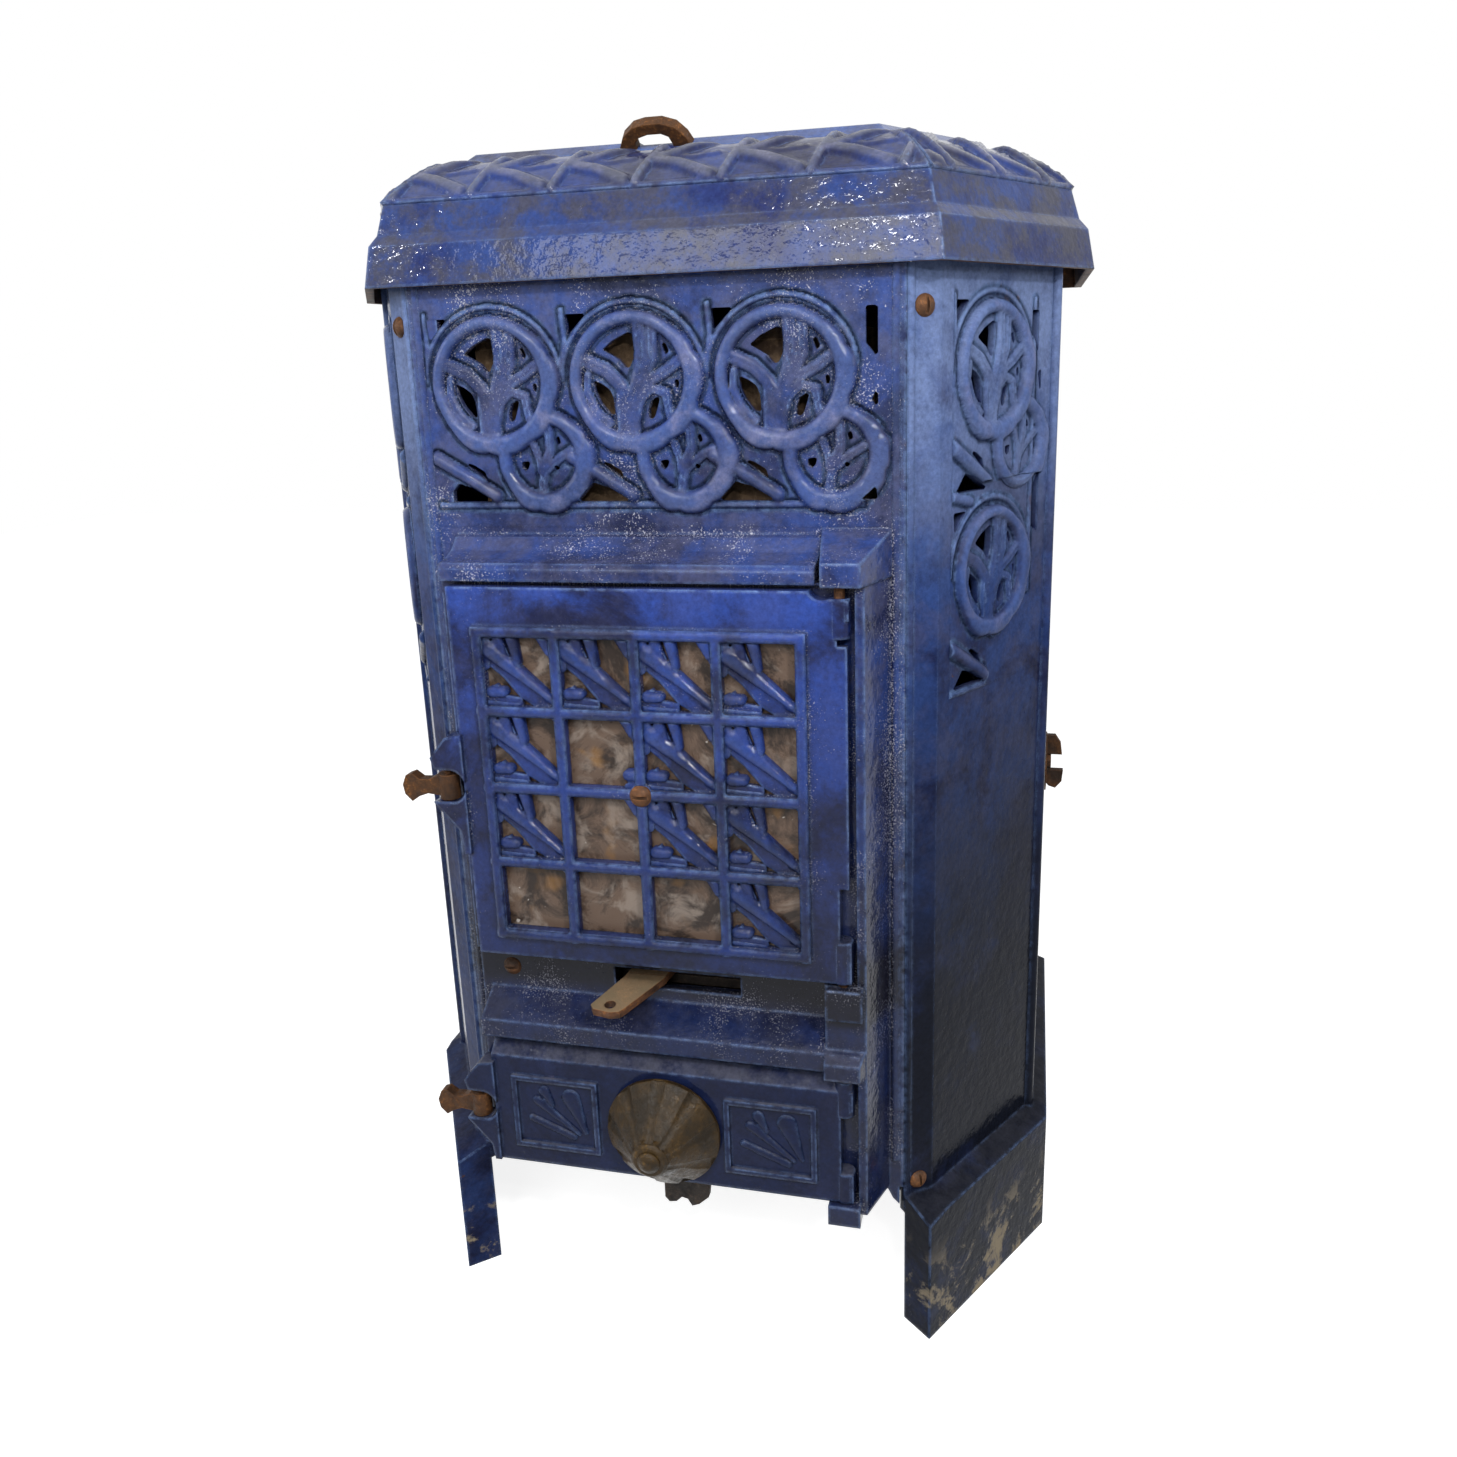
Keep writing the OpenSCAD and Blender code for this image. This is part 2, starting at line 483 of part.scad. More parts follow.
module latch_lever(z) translate([0, 0, z]) difference() {
  union() {
    translate([latch_x, latch_y, -7.8]) cylinder(r = 6.3, h = 15.6);
    translate([latch_x - 1, latch_y + 3.5, 0]) rotate([90, 0, 0]) linear_extrude(7.5)
      polygon([[0, -6], [0, 7], [-6, 6.5], [-11, 4.2], [-17, 4], [-22, 7.5], [-26, 6],
        [-28.5, 0], [-27.5, -6], [-23, -10.5], [-18, -7], [-12, -4.8], [-6, -5.5]]);
    translate([latch_x - 6.5, latch_y, -5]) cube([6, 10.5, 10]);
  }
  translate([latch_x, latch_y, -10]) cylinder(r = 2.5 + fit, h = 20);
}
module fire_latch() color(rust) place() latch_lever(fl_z);
module fire_latch_pin() color(rust) place() translate([latch_x, latch_y, fl_z - 17.5])
  cylinder(r = 2.5, h = 38.5);

// ---- ash door ----
module ash_door() color(blue) place() difference() {
  union() {
    bar_x(fd_x, 108, [[seat_y - 0.3, ad_z], [door_f, ad_z], [door_f, ad_z + ash_door_h - 7],
      [door_f + 8, ad_z + ash_door_h], [seat_y - 0.3, ad_z + ash_door_h]]);
    translate([100, door_f, ad_z]) cube([door_w + fd_x - 100, 5, 20]);
    translate([100, door_f, ad_z + 64]) cube([door_w + fd_x - 100, 5, 13]);
    knuckle(ad_z, ad_z + 20); knuckle(ad_z + 60, ad_z + ash_door_h);
    for (x = [-76, 64.5]) translate([x, 0, 148]) on_front(door_f + 0.5) linear_extrude(2.8)
      difference() { square([58, 52], center = true); square([51, 45], center = true); }
    latch_ears(al_z, -38);
    translate([reg_c[0], 0, reg_c[1]]) on_front(door_f + 0.5) cylinder(r = 26, h = 1.7);
  }
  translate([fd_x + 9, -26.5, ad_z + 8]) cube([102 - fd_x - 12, 10, ash_door_h - 17]);
  translate([latch_x - 12, -50, al_z - 8.3]) cube([19.5, 40, 17]);
  translate([reg_c[0], 0, reg_c[1]]) on_front(-20) for (a = [45:90:315]) rotate([0, 0, a])
    translate([15, 0, 0]) cylinder(r = 6.5, h = 30);
  translate([reg_c[0], 0, reg_c[1]]) on_front(-10) cylinder(r = 4, h = 60);
  translate([hinge_x, hinge_y, ad_z - 5]) cylinder(r = pin_d/2, h = 22);
  translate([hinge_x, hinge_y, ad_z + ash_door_h - 16]) cylinder(r = pin_d/2, h = 30);
}
module ash_door_pins() color(rust) place() {
  translate([hinge_x, hinge_y, ad_z - 10.5]) cylinder(r = pin_d/2, h = 25);
  translate([hinge_x, hinge_y, ad_z + ash_door_h - 14]) cylinder(r = pin_d/2, h = 21);
}
module ash_latch() color(rust) place() latch_lever(al_z);
module ash_latch_pin() color(rust) place() translate([latch_x, latch_y, al_z - 17.5])
  cylinder(r = 2.5, h = 38.5);
module air_regulator() color(rust) place() translate([reg_c[0], door_f - 2, reg_c[1]])
  rotate([90, 0, 0]) difference() {
    r = regulator_d/2;
    rotate_extrude() polygon([[4 + fit, 0], [r, 0], [r, 3], [r*0.82, 9.5], [r*0.55, 18.5],
      [12.6, 27], [11.4, 30.5], [9.5, reg_l], [4 + fit, reg_l]]);
    translate([0, 0, -1]) rotate_extrude() polygon([[7.5, 0], [r - 4, 0], [r*0.74, 5],
      [r*0.47, 13], [9, 20], [7.5, 21]]);
    // flutes between the ribs
    for (i = [0:8]) rotate([0, 0, 40*i + 12]) translate([r + 5, 0, 8]) rotate([0, -50.2, 0])
      cylinder(r1 = 9.2, r2 = 4.2, h = 37.3);
  }
module regulator_spindle() color(rust) place() translate([reg_c[0], -18.5, reg_c[1]])
  rotate([90, 0, 0]) {
    cylinder(r = 4, h = -18.5 - nose_y - 3.2);
    translate([0, 0, -18.5 - nose_y - 3.6]) intersection() { cylinder(r = 7, h = 3.6); translate([0, 0, -5]) sphere(r = 8.9); }
  }
module regulator_nut() color(rust) place() translate([reg_c[0], -22.9, reg_c[1]])
  rotate([-90, 0, 0]) mirror([0, 0, 1]) difference() {
    cylinder(r = 8, h = 3.6, $fn = 6);
    translate([0, 0, -1]) cylinder(r = 4, h = 10);
  }

// ---- inside ----
module ash_chamber() color(iron) place() difference() {
  translate([-fire_hw, 8, base_z + 12]) cube([2*fire_hw, fire_y + fire_d - 8, 114]);
  translate([-fire_hw + 5, 0, base_z]) cube([2*fire_hw - 10, fire_y + fire_d - 5, 140]);
}
module grate_frame() color(iron) place() difference() {
  translate([-fire_hw, 8, base_z + 126]) cube([2*fire_hw, fire_y + fire_d - 8, 6]);
  translate([0, grate_y, 0]) cylinder(r = grate_r - 5, h = 400);
  translate([0, grate_y, base_z + 128.5]) cylinder(r = grate_r + 1, h = 20);
}
module grate() color(iron) place() translate([0, grate_y, base_z + 128.5]) difference() {
  cylinder(r = grate_r, h = 7);
  for (i = [-4:4]) {
    w = 2*sqrt(pow(grate_r - 9, 2) - pow(i*17, 2)) - 8;
    translate([i*17 - 4.5, -w/2, -1]) cube([9, w, 20]);
  }
}
module riddling_lever() color(rust) place() translate([0, 0, base_z + 135.5]) {
  linear_extrude(5) polygon([[-14, grate_y + 20], [14, grate_y + 20], [12, grate_y - 30],
    [-5.2, -9], [-30.4, -9], [-14, grate_y - 30]]);
  // tongue in front of the slot, bent down
  translate([0, -9.4, 0]) rotate([9, 0, 0]) difference() {
    linear_extrude(5) polygon([[-4.9, 0], [-6, -2.6], [-21.5, -32.6], [-24, -36.6],
      [-30, -38.1], [-41, -36.1], [-43.5, -32.6], [-31, -2.6], [-30.4, 0]]);
    translate([-31.5, -31.1, -1]) cylinder(r = 3.6, h = 10);
  }
  translate([-30.4, -9.8, 0]) cube([25, 1.2, 4.9]);
}
module ash_pan() color(iron) place() difference() {
  union() {
    translate([-100, 0, base_z + 12]) cube([200, fire_d - 14, 50]);
    translate([-22, -10, base_z + 44]) cube([44, 10.5, 5]);
  }
  translate([-98, 2, base_z + 14]) cube([196, fire_d - 18, 80]);
}
module firebox() color(rust) place() {
  x0 = grid_c[0] - grid_h - 3; z0 = grid_c[1] - grid_h - 3; w = 2*grid_h + 6;
  difference() {
    union() {
      translate([-fire_hw, fire_y, fire_z]) cube([2*fire_hw, fire_d, fire_top - fire_z]);
      translate([x0 - 5, seat_y + 6.3, z0 - 5]) cube([w + 10, fire_y - seat_y, w + 10]);
    }
    translate([-fire_hw + 6, fire_y + 6, fire_z - 1]) cube([2*fire_hw - 12, fire_d - 12, fire_top]);
    translate([x0, -40, z0]) cube([w, 60 + fire_y, w]);
    translate([-50, 0, fire_z - 1]) cube([106, fire_y + 10, 12]);
    translate([0, fire_y + fire_d - 10, flue_z]) rotate([-90, 0, 0]) cylinder(r = flue_d/2 + 0.5, h = 20);
  }
}
module firebox_lid() color(rust) place() translate([-fire_hw + 0.5, fire_y + 0.5, fire_top])
  cube([2*fire_hw - 1, fire_d - 1, 6]);
module brick(x, y, w, d, h) color(clay) place() translate([x, y, fire_z]) cube([w, d, h]);
module back_brick() brick(-fire_hw + 6.5, fire_y + fire_d - 28, 2*fire_hw - 13, 21.5, 190);
module left_brick() brick(-fire_hw + 6.5, fire_y + 8, 10, fire_d - 37, 190);
module right_brick() brick(fire_hw - 16.5, fire_y + 8, 10, fire_d - 37, 190);
module flue_collar() color(rust) place() translate([0, 0, flue_z]) rotate([-90, 0, 0]) difference() {
  union() {
    translate([0, 0, fire_y + fire_d - 4]) cylinder(r = flue_d/2, h = body_d + collar_l - fire_y - fire_d + 4);
    translate([0, 0, body_d]) cylinder(r = flue_d/2 + 18, h = 6);
    translate([0, 0, body_d + collar_l - 9]) cylinder(r = flue_d/2 + 2, h = 4);
  }
  cylinder(r = flue_d/2 - 5.5, h = 900);
  for (a = [90, 210, 330]) rotate([0, 0, a]) translate([flue_d/2 + 11, 0, 0]) cylinder(r = 2.4, h = 900);
}
module small_screw(l) {
  translate([0, 0, -l]) cylinder(r = 2.4, h = l + 0.5);
  difference() {
    intersection() { translate([0, 0, -3]) sphere(r = 6.2); cylinder(r = 5, h = 6); }
    translate([-6, -0.6, 1.6]) cube([12, 1.2, 4]);
  }
}
module collar_screws() color(rust) place() for (a = [90, 210, 330]) translate([0, body_d + 6, flue_z])
  rotate([-90, 0, 0]) rotate([0, 0, a]) translate([flue_d/2 + 11, 0, 0]) small_screw(14);
module back_screws() color(rust) place() both() for (z = [130, 380, 640])
  translate([body_w/2 - wall - 8, body_d, z]) rotate([-90, 0, 0]) small_screw(14);
module big_screw(l) {
  translate([0, 0, -l]) cylinder(r = 2.9, h = l + 0.5);
  difference() {
    intersection() { translate([0, 0, -3.2]) sphere(r = 6.9); cylinder(r = 6, h = 6); }
    translate([-7, -0.8, 1.9]) cube([14, 1.6, 4]);
  }
}
module front_screws() color(rust) place() {
  both() for (z = [base_z + 3, body_h - 21]) pillar_screw_at(z) big_screw(14);
  strip_screw_at() big_screw(9);
}
module side_shutter() color(rust) place() translate([body_w/2 + 0.3, shut[0], shut[1]])
  rotate([0, 90, 0]) difference() {
    union() {
      cylinder(r = 22, h = 3);
      // upright thumb piece
      translate([0, -2.5, 0]) rotate([0, -90, -90]) linear_extrude(5)
        polygon([[2.5, -21], [9, -21], [13, -15], [15.5, 4], [14.5, 15], [10, 20.5], [5, 19], [2.5, 16]]);
    }
    translate([0, 0, -1]) cylinder(r = 2.9 + fit, h = 30);
    for (a = [0, 180]) rotate([0, 0, a + 70]) translate([12, 0, -1]) cylinder(r = 5, h = 20);
    translate([0, 0, 3]) cylinder(r = 6.6, h = 30);
  }
module shutter_screw() color(rust) place() translate([body_w/2 + 0.3, shut[0], shut[1]])
  rotate([0, 90, 0]) { translate([0, 0, -9]) cylinder(r = 2.9, h = 13);
    translate([0, 0, 3.3]) cylinder(r = 5.5, h = 3); }

front_plate();
left_side();
right_side();
back_plate();
base_plate();
top_cover();
top_plate();
top_handle();
fire_door();
mica_upper_left();
mica_upper_right();
mica_lower_left();
mica_lower_right();
mica_frame();
mica_screw();
mica_nut();
fire_door_pins();
fire_latch();
fire_latch_pin();
ash_door();
ash_door_pins();
ash_latch();
ash_latch_pin();
air_regulator();
regulator_spindle();
regulator_nut();
ash_chamber();
grate_frame();
grate();
riddling_lever();
ash_pan();
firebox();
firebox_lid();
back_brick();
left_brick();
right_brick();
flue_collar();
collar_screws();
front_screws();
back_screws();
side_shutter();
shutter_screw();
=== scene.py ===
import json
import math
import bpy
import numpy as np
from mathutils import Matrix, Vector

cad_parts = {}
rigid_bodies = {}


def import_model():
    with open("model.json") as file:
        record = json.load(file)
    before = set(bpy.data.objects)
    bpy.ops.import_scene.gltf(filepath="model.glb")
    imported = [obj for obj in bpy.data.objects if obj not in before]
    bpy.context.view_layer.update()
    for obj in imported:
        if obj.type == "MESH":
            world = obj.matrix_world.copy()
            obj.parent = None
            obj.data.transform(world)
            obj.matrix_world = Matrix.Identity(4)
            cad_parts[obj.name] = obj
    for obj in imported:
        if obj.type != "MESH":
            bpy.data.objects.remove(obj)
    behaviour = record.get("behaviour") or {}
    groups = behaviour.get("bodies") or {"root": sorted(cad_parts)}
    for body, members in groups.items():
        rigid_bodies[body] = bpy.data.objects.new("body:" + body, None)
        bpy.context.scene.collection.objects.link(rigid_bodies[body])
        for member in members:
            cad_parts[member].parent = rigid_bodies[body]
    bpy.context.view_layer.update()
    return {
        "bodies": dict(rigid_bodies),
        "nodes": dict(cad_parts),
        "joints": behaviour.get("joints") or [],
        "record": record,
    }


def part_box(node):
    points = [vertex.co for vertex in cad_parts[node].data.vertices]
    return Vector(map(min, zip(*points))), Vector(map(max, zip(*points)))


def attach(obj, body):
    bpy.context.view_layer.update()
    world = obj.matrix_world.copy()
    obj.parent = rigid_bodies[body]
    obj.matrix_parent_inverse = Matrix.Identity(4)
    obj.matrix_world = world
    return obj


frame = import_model()

# Sizes of castings are in millimetres, measured from the face of the front plate. The
# frame is in metres, and its back plate gives where that face lies.
MM = 0.001
FACE_TO_BACK = 0.338    # from the front plate's face to the back of the stove, in metres
FACE_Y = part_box("back_plate")[1][1] - FACE_TO_BACK


def spot(x, y, z):
    """A place given in millimetres from the front plate's face, in the frame's metres."""
    return Vector((x * MM, y * MM + FACE_Y, z * MM))


def link_piece(name, data):
    """A new object of the scene, standing at the origin."""
    piece = bpy.data.objects.new(name, data)
    bpy.context.scene.collection.objects.link(piece)
    return piece


# ---------------------------------------------------------------- shader building
MIX_A, MIX_B, MIX_RESULT = 6, 7, 2      # colour sockets of a Mix node


class Shade:
    """A small builder for one node tree."""

    def __init__(self, tree):
        self.tree = tree

    def add(self, kind, **settings):
        node = self.tree.nodes.new(kind)
        for key, value in settings.items():
            setattr(node, key, value)
        return node

    def join(self, source, target):
        self.tree.links.new(source, target)

    def put(self, socket, value):
        if isinstance(value, bpy.types.NodeSocket):
            self.join(value, socket)
        else:
            socket.default_value = value

    def math(self, operation, a, b=0.0, clamp=False):
        node = self.add("ShaderNodeMath", operation=operation, use_clamp=clamp)
        self.put(node.inputs[0], a)
        self.put(node.inputs[1], b)
        return node.outputs[0]

    def ramp(self, value, low, high, out_low=0.0, out_high=1.0, smooth=True):
        node = self.add("ShaderNodeMapRange", clamp=True)
        node.interpolation_type = "SMOOTHSTEP" if smooth else "LINEAR"
        self.put(node.inputs["Value"], value)
        self.put(node.inputs["From Min"], low)
        self.put(node.inputs["From Max"], high)
        self.put(node.inputs["To Min"], out_low)
        self.put(node.inputs["To Max"], out_high)
        return node.outputs["Result"]

    def noise(self, place, scale, detail=4.0, rough=0.55, distortion=0.0, offset=0.0):
        node = self.add("ShaderNodeTexNoise", noise_dimensions="4D")
        self.put(node.inputs["Vector"], place)
        node.inputs["W"].default_value = offset
        node.inputs["Scale"].default_value = scale
        node.inputs["Detail"].default_value = detail
        node.inputs["Roughness"].default_value = rough
        node.inputs["Distortion"].default_value = distortion
        return node.outputs["Fac"]

    def blend(self, amount, a, b, mode="MIX"):
        node = self.add("ShaderNodeMix", data_type="RGBA", blend_type=mode)
        self.put(node.inputs["Factor"], amount)
        for index, color in ((MIX_A, a), (MIX_B, b)):
            given = isinstance(color, bpy.types.NodeSocket)
            self.put(node.inputs[index], color if given else (*color, 1.0))
        return node.outputs[MIX_RESULT]

    def group(self, group, **inputs):
        node = self.add("ShaderNodeGroup", node_tree=group)
        for key, value in inputs.items():
            self.put(node.inputs[key.replace("_", " ")], value)
        return node


def new_group(name, inputs, outputs):
    tree = bpy.data.node_groups.new(name, "ShaderNodeTree")
    for label, kind, value in inputs:
        socket = tree.interface.new_socket(label, in_out="INPUT", socket_type=kind)
        if value is not None:
            socket.default_value = value
    for label, kind in outputs:
        tree.interface.new_socket(label, in_out="OUTPUT", socket_type=kind)
    shade = Shade(tree)
    return tree, shade, shade.add("NodeGroupInput"), shade.add("NodeGroupOutput")


FLOAT, VECTOR, COLOR = "NodeSocketFloat", "NodeSocketVector", "NodeSocketColor"


def make_edge_group():
    """How sharply a casting turns: open raised edges, which wear pale and on the enamel carry a
    painted highlight, and inner corners, which take painted shade.
    """
    tree, s, given, result = new_group(
        "cast edges", [("Radius", FLOAT, 0.0022), ("Place", VECTOR, None)],
        [("Edge", FLOAT), ("Corner", FLOAT), ("Soft Normal", VECTOR)])
    soft = s.add("ShaderNodeBevel", samples=4)
    s.put(soft.inputs["Radius"], given.outputs["Radius"])
    geometry = s.add("ShaderNodeNewGeometry")
    dot = s.add("ShaderNodeVectorMath", operation="DOT_PRODUCT")
    s.join(soft.outputs["Normal"], dot.inputs[0])
    s.join(geometry.outputs["Normal"], dot.inputs[1])
    turn = s.ramp(dot.outputs["Value"], 0.995, 0.86)
    shut = s.add("ShaderNodeAmbientOcclusion", samples=4, only_local=True)
    shut.inputs["Distance"].default_value = 0.012
    open_part = s.ramp(shut.outputs["AO"], 0.6, 0.9)
    broken = s.ramp(s.noise(given.outputs["Place"], 160.0, 3.0, 0.6), 0.3, 0.62)
    s.join(s.math("MULTIPLY", s.math("MULTIPLY", turn, open_part), broken),
           result.inputs["Edge"])
    # Corner: ambient occlusion, used as painted shade in the inner corners
    s.join(s.ramp(shut.outputs["AO"], 0.92, 0.45), result.inputs["Corner"])
    s.join(soft.outputs["Normal"], result.inputs["Soft Normal"])
    return tree


def make_speck_group():
    """Fine pale specks gathered in drifts, as dust and pitting in old enamel."""
    tree, s, given, result = new_group(
        "enamel specks", [("Place", VECTOR, None), ("Amount", FLOAT, 0.5)],
        [("Specks", FLOAT), ("Pits", FLOAT)])
    place = given.outputs["Place"]
    drift = s.noise(place, 22.0, 5.0, 0.6)
    fine = s.noise(place, 900.0, 2.0, 0.7)
    limit = s.ramp(s.math("MULTIPLY", drift, given.outputs["Amount"]), 0.15, 0.5, 0.8, 0.52)
    pits = s.ramp(s.noise(place, 420.0, 2.0, 0.6, 0.0, 7.0), 0.64, 0.72)
    s.join(s.ramp(fine, limit, s.math("ADD", limit, 0.04)), result.inputs["Specks"])
    s.join(s.math("MULTIPLY", pits, s.ramp(drift, 0.4, 0.62)), result.inputs["Pits"])
    return tree


def make_rust_group():
    """Rust colours, from dark brown scale to orange bloom."""
    tree, s, given, result = new_group(
        "rust scale", [("Place", VECTOR, None), ("Dark", COLOR, (0.02, 0.011, 0.007, 1)),
                       ("Middle", COLOR, (0.10, 0.045, 0.02, 1)),
                       ("Bright", COLOR, (0.30, 0.12, 0.035, 1))],
        [("Color", COLOR), ("Height", FLOAT)])
    place = given.outputs["Place"]
    wide = s.noise(place, 55.0, 6.0, 0.65)
    grain = s.noise(place, 380.0, 4.0, 0.7, 0.0, 3.0)
    first = s.blend(s.ramp(wide, 0.35, 0.6), given.outputs["Dark"], given.outputs["Middle"])
    bloom = s.math("MULTIPLY", s.ramp(grain, 0.5, 0.68), s.ramp(wide, 0.42, 0.66))
    s.join(s.blend(bloom, first, given.outputs["Bright"]), result.inputs["Color"])
    s.join(s.math("ADD", grain, s.math("MULTIPLY", wide, 1.5)), result.inputs["Height"])
    return tree


EDGES = make_edge_group()
SPECKS = make_speck_group()
RUST = make_rust_group()


def new_material(name):
    material = bpy.data.materials.new(name)
    material.use_nodes = True
    material.node_tree.nodes.clear()
    s = Shade(material.node_tree)
    body = s.add("ShaderNodeBsdfPrincipled")
    out = s.add("ShaderNodeOutputMaterial")
    s.join(body.outputs["BSDF"], out.inputs["Surface"])
    place = s.add("ShaderNodeTexCoord").outputs["Object"]
    return material, s, body, place


# heights above the floor between which the enamel changes, in metres
# the lower part darkens between these heights, as painted shade and soot
SHADE_AND_SOOT_TOP, SHADE_AND_SOOT_FULL = 0.56, 0.2
BAND_FOOT, BAND_HEAD = (0.222, 0.234), (0.285, 0.26)
# the upper part pales between these heights, as painted light
UPPER_LIGHT_FROM, UPPER_LIGHT_FULL = 0.46, 0.62
TAN_TOP, TAN_FULL = 0.075, 0.02
# colours of what has settled on the enamel or shows through it, and of the painted highlight and
# painted light on it
# rims: worn enamel with a painted highlight
WORN_AND_HIGHLIT_RIM = (0.12, 0.19, 0.37)
BLACK_BAND = (0.004, 0.004, 0.008)
# painted light on the upper part
UPPER_LIGHT_BLUE = (0.11, 0.15, 0.28)
GREY_FILM = (0.15, 0.15, 0.24)
PALE_DUST = (0.095, 0.095, 0.115)
WHITE_SPECK = (0.36, 0.36, 0.42)
TAN_GROUND = (0.2, 0.165, 0.115)


def facing_up(s):
    """How far the surface faces up, from -1 to 1."""
    turned = s.add("ShaderNodeSeparateXYZ")
    s.join(s.add("ShaderNodeNewGeometry").outputs["Normal"], turned.inputs[0])
    return turned.outputs["Z"]


def dent(s, body, height, strength, distance, normal=None):
    """Bumps the surface by a height, on top of the normal where one is given."""
    bump = s.add("ShaderNodeBump")
    bump.inputs["Strength"].default_value = strength
    bump.inputs["Distance"].default_value = distance
    s.join(height, bump.inputs["Height"])
    if normal is not None:
        s.join(normal, bump.inputs["Normal"])
    s.join(bump.outputs["Normal"], body.inputs["Normal"])


def low_shade_and_soot_mask(s, place, parts, darkening, clear_foot, shift):
    """Painted shade and soot over the lower part, darker towards the bottom; the left foot is
    spared part of it.
    """
    low = s.ramp(parts.outputs["Z"], SHADE_AND_SOOT_TOP, SHADE_AND_SOOT_FULL)
    if clear_foot:
        low = s.math("MULTIPLY", low, s.ramp(parts.outputs["X"], -0.16, 0.1, 0.45, 1.0))
    patches = s.ramp(s.noise(place, 18.0, 6.0, 0.65, 0.0, shift + 5.0), 0.22, 0.5, 0.55, 1.0)
    return s.math("MULTIPLY", s.math("MULTIPLY", low, darkening), patches)


def band_mask(s, parts, band):
    """A black band across the strip between the two doors."""
    shaded = s.math("MULTIPLY", s.ramp(parts.outputs["Z"], *BAND_FOOT),
                    s.ramp(parts.outputs["Z"], *BAND_HEAD))
    return s.math("MULTIPLY", shaded, band)


def upper_light_mask(s, place, parts, corner, upper_light, shift):
    """Painted light: the enamel paler towards the cornice, though not in the hollows."""
    high = s.math("MULTIPLY", s.ramp(parts.outputs["Z"], UPPER_LIGHT_FROM, UPPER_LIGHT_FULL), upper_light)
    patches = s.ramp(s.noise(place, 21.0, 7.0, 0.72, 0.3, shift + 3.0), 0.3, 0.6, 0.25, 1.0)
    return s.math("MULTIPLY", s.math("MULTIPLY", high, patches),
                  s.math("SUBTRACT", 1.0, corner))


def dust_mask(s, place, up, dust, shift):
    """Dust settled in patches on what faces up."""
    patches = s.ramp(s.noise(place, 60.0, 5.0, 0.7, 0.0, shift + 8.0), 0.3, 0.62)
    return s.math("MULTIPLY", s.math("MULTIPLY", s.ramp(up, 0.25, 0.9), patches), dust)


def chip_mask(s, place, edge, rust, shift):
    """Where the enamel has gone: spots on the faces and stretches of the edges."""
    spots = s.noise(place, 46.0, 6.0, 0.72, 0.5, shift + 11.0)
    gone = s.math("MULTIPLY", s.ramp(spots, 0.72 - 0.14 * rust, 0.75 - 0.12 * rust),
                  min(1.0, rust * 6))
    stretches = s.noise(place, 35.0, 4.0, 0.6, 0.0, shift + 14.0)
    chipped = s.math("MULTIPLY", edge,
                     s.ramp(stretches, 0.68 - 0.25 * rust, 0.76 - 0.2 * rust))
    return s.math("MAXIMUM", gone, chipped)


def inside_mask(s, place, up):
    """Bare iron inside: what faces the middle of the stove, or down."""
    level = s.add("ShaderNodeVectorMath", operation="MULTIPLY")
    s.join(place, level.inputs[0])
    level.inputs[1].default_value = (1.0, 1.0, 0.0)
    inward = s.add("ShaderNodeVectorMath", operation="DOT_PRODUCT")
    s.join(level.outputs["Vector"], inward.inputs[0])
    s.join(s.add("ShaderNodeNewGeometry").outputs["Normal"], inward.inputs[1])
    return s.math("MAXIMUM", s.ramp(inward.outputs["Value"], -0.01, -0.04),
                  s.ramp(up, -0.5, -0.9))


def tan_mask(s, place, parts, tan, shift):
    """Patches of the tan ground coat near the floor."""
    patches = s.ramp(s.noise(place, 28.0, 6.0, 0.7, 0.4, shift + 17.0),
                     0.64 - 0.16 * tan, 0.7 - 0.14 * tan)
    return s.math("MULTIPLY", s.ramp(parts.outputs["Z"], TAN_TOP, TAN_FULL), patches)


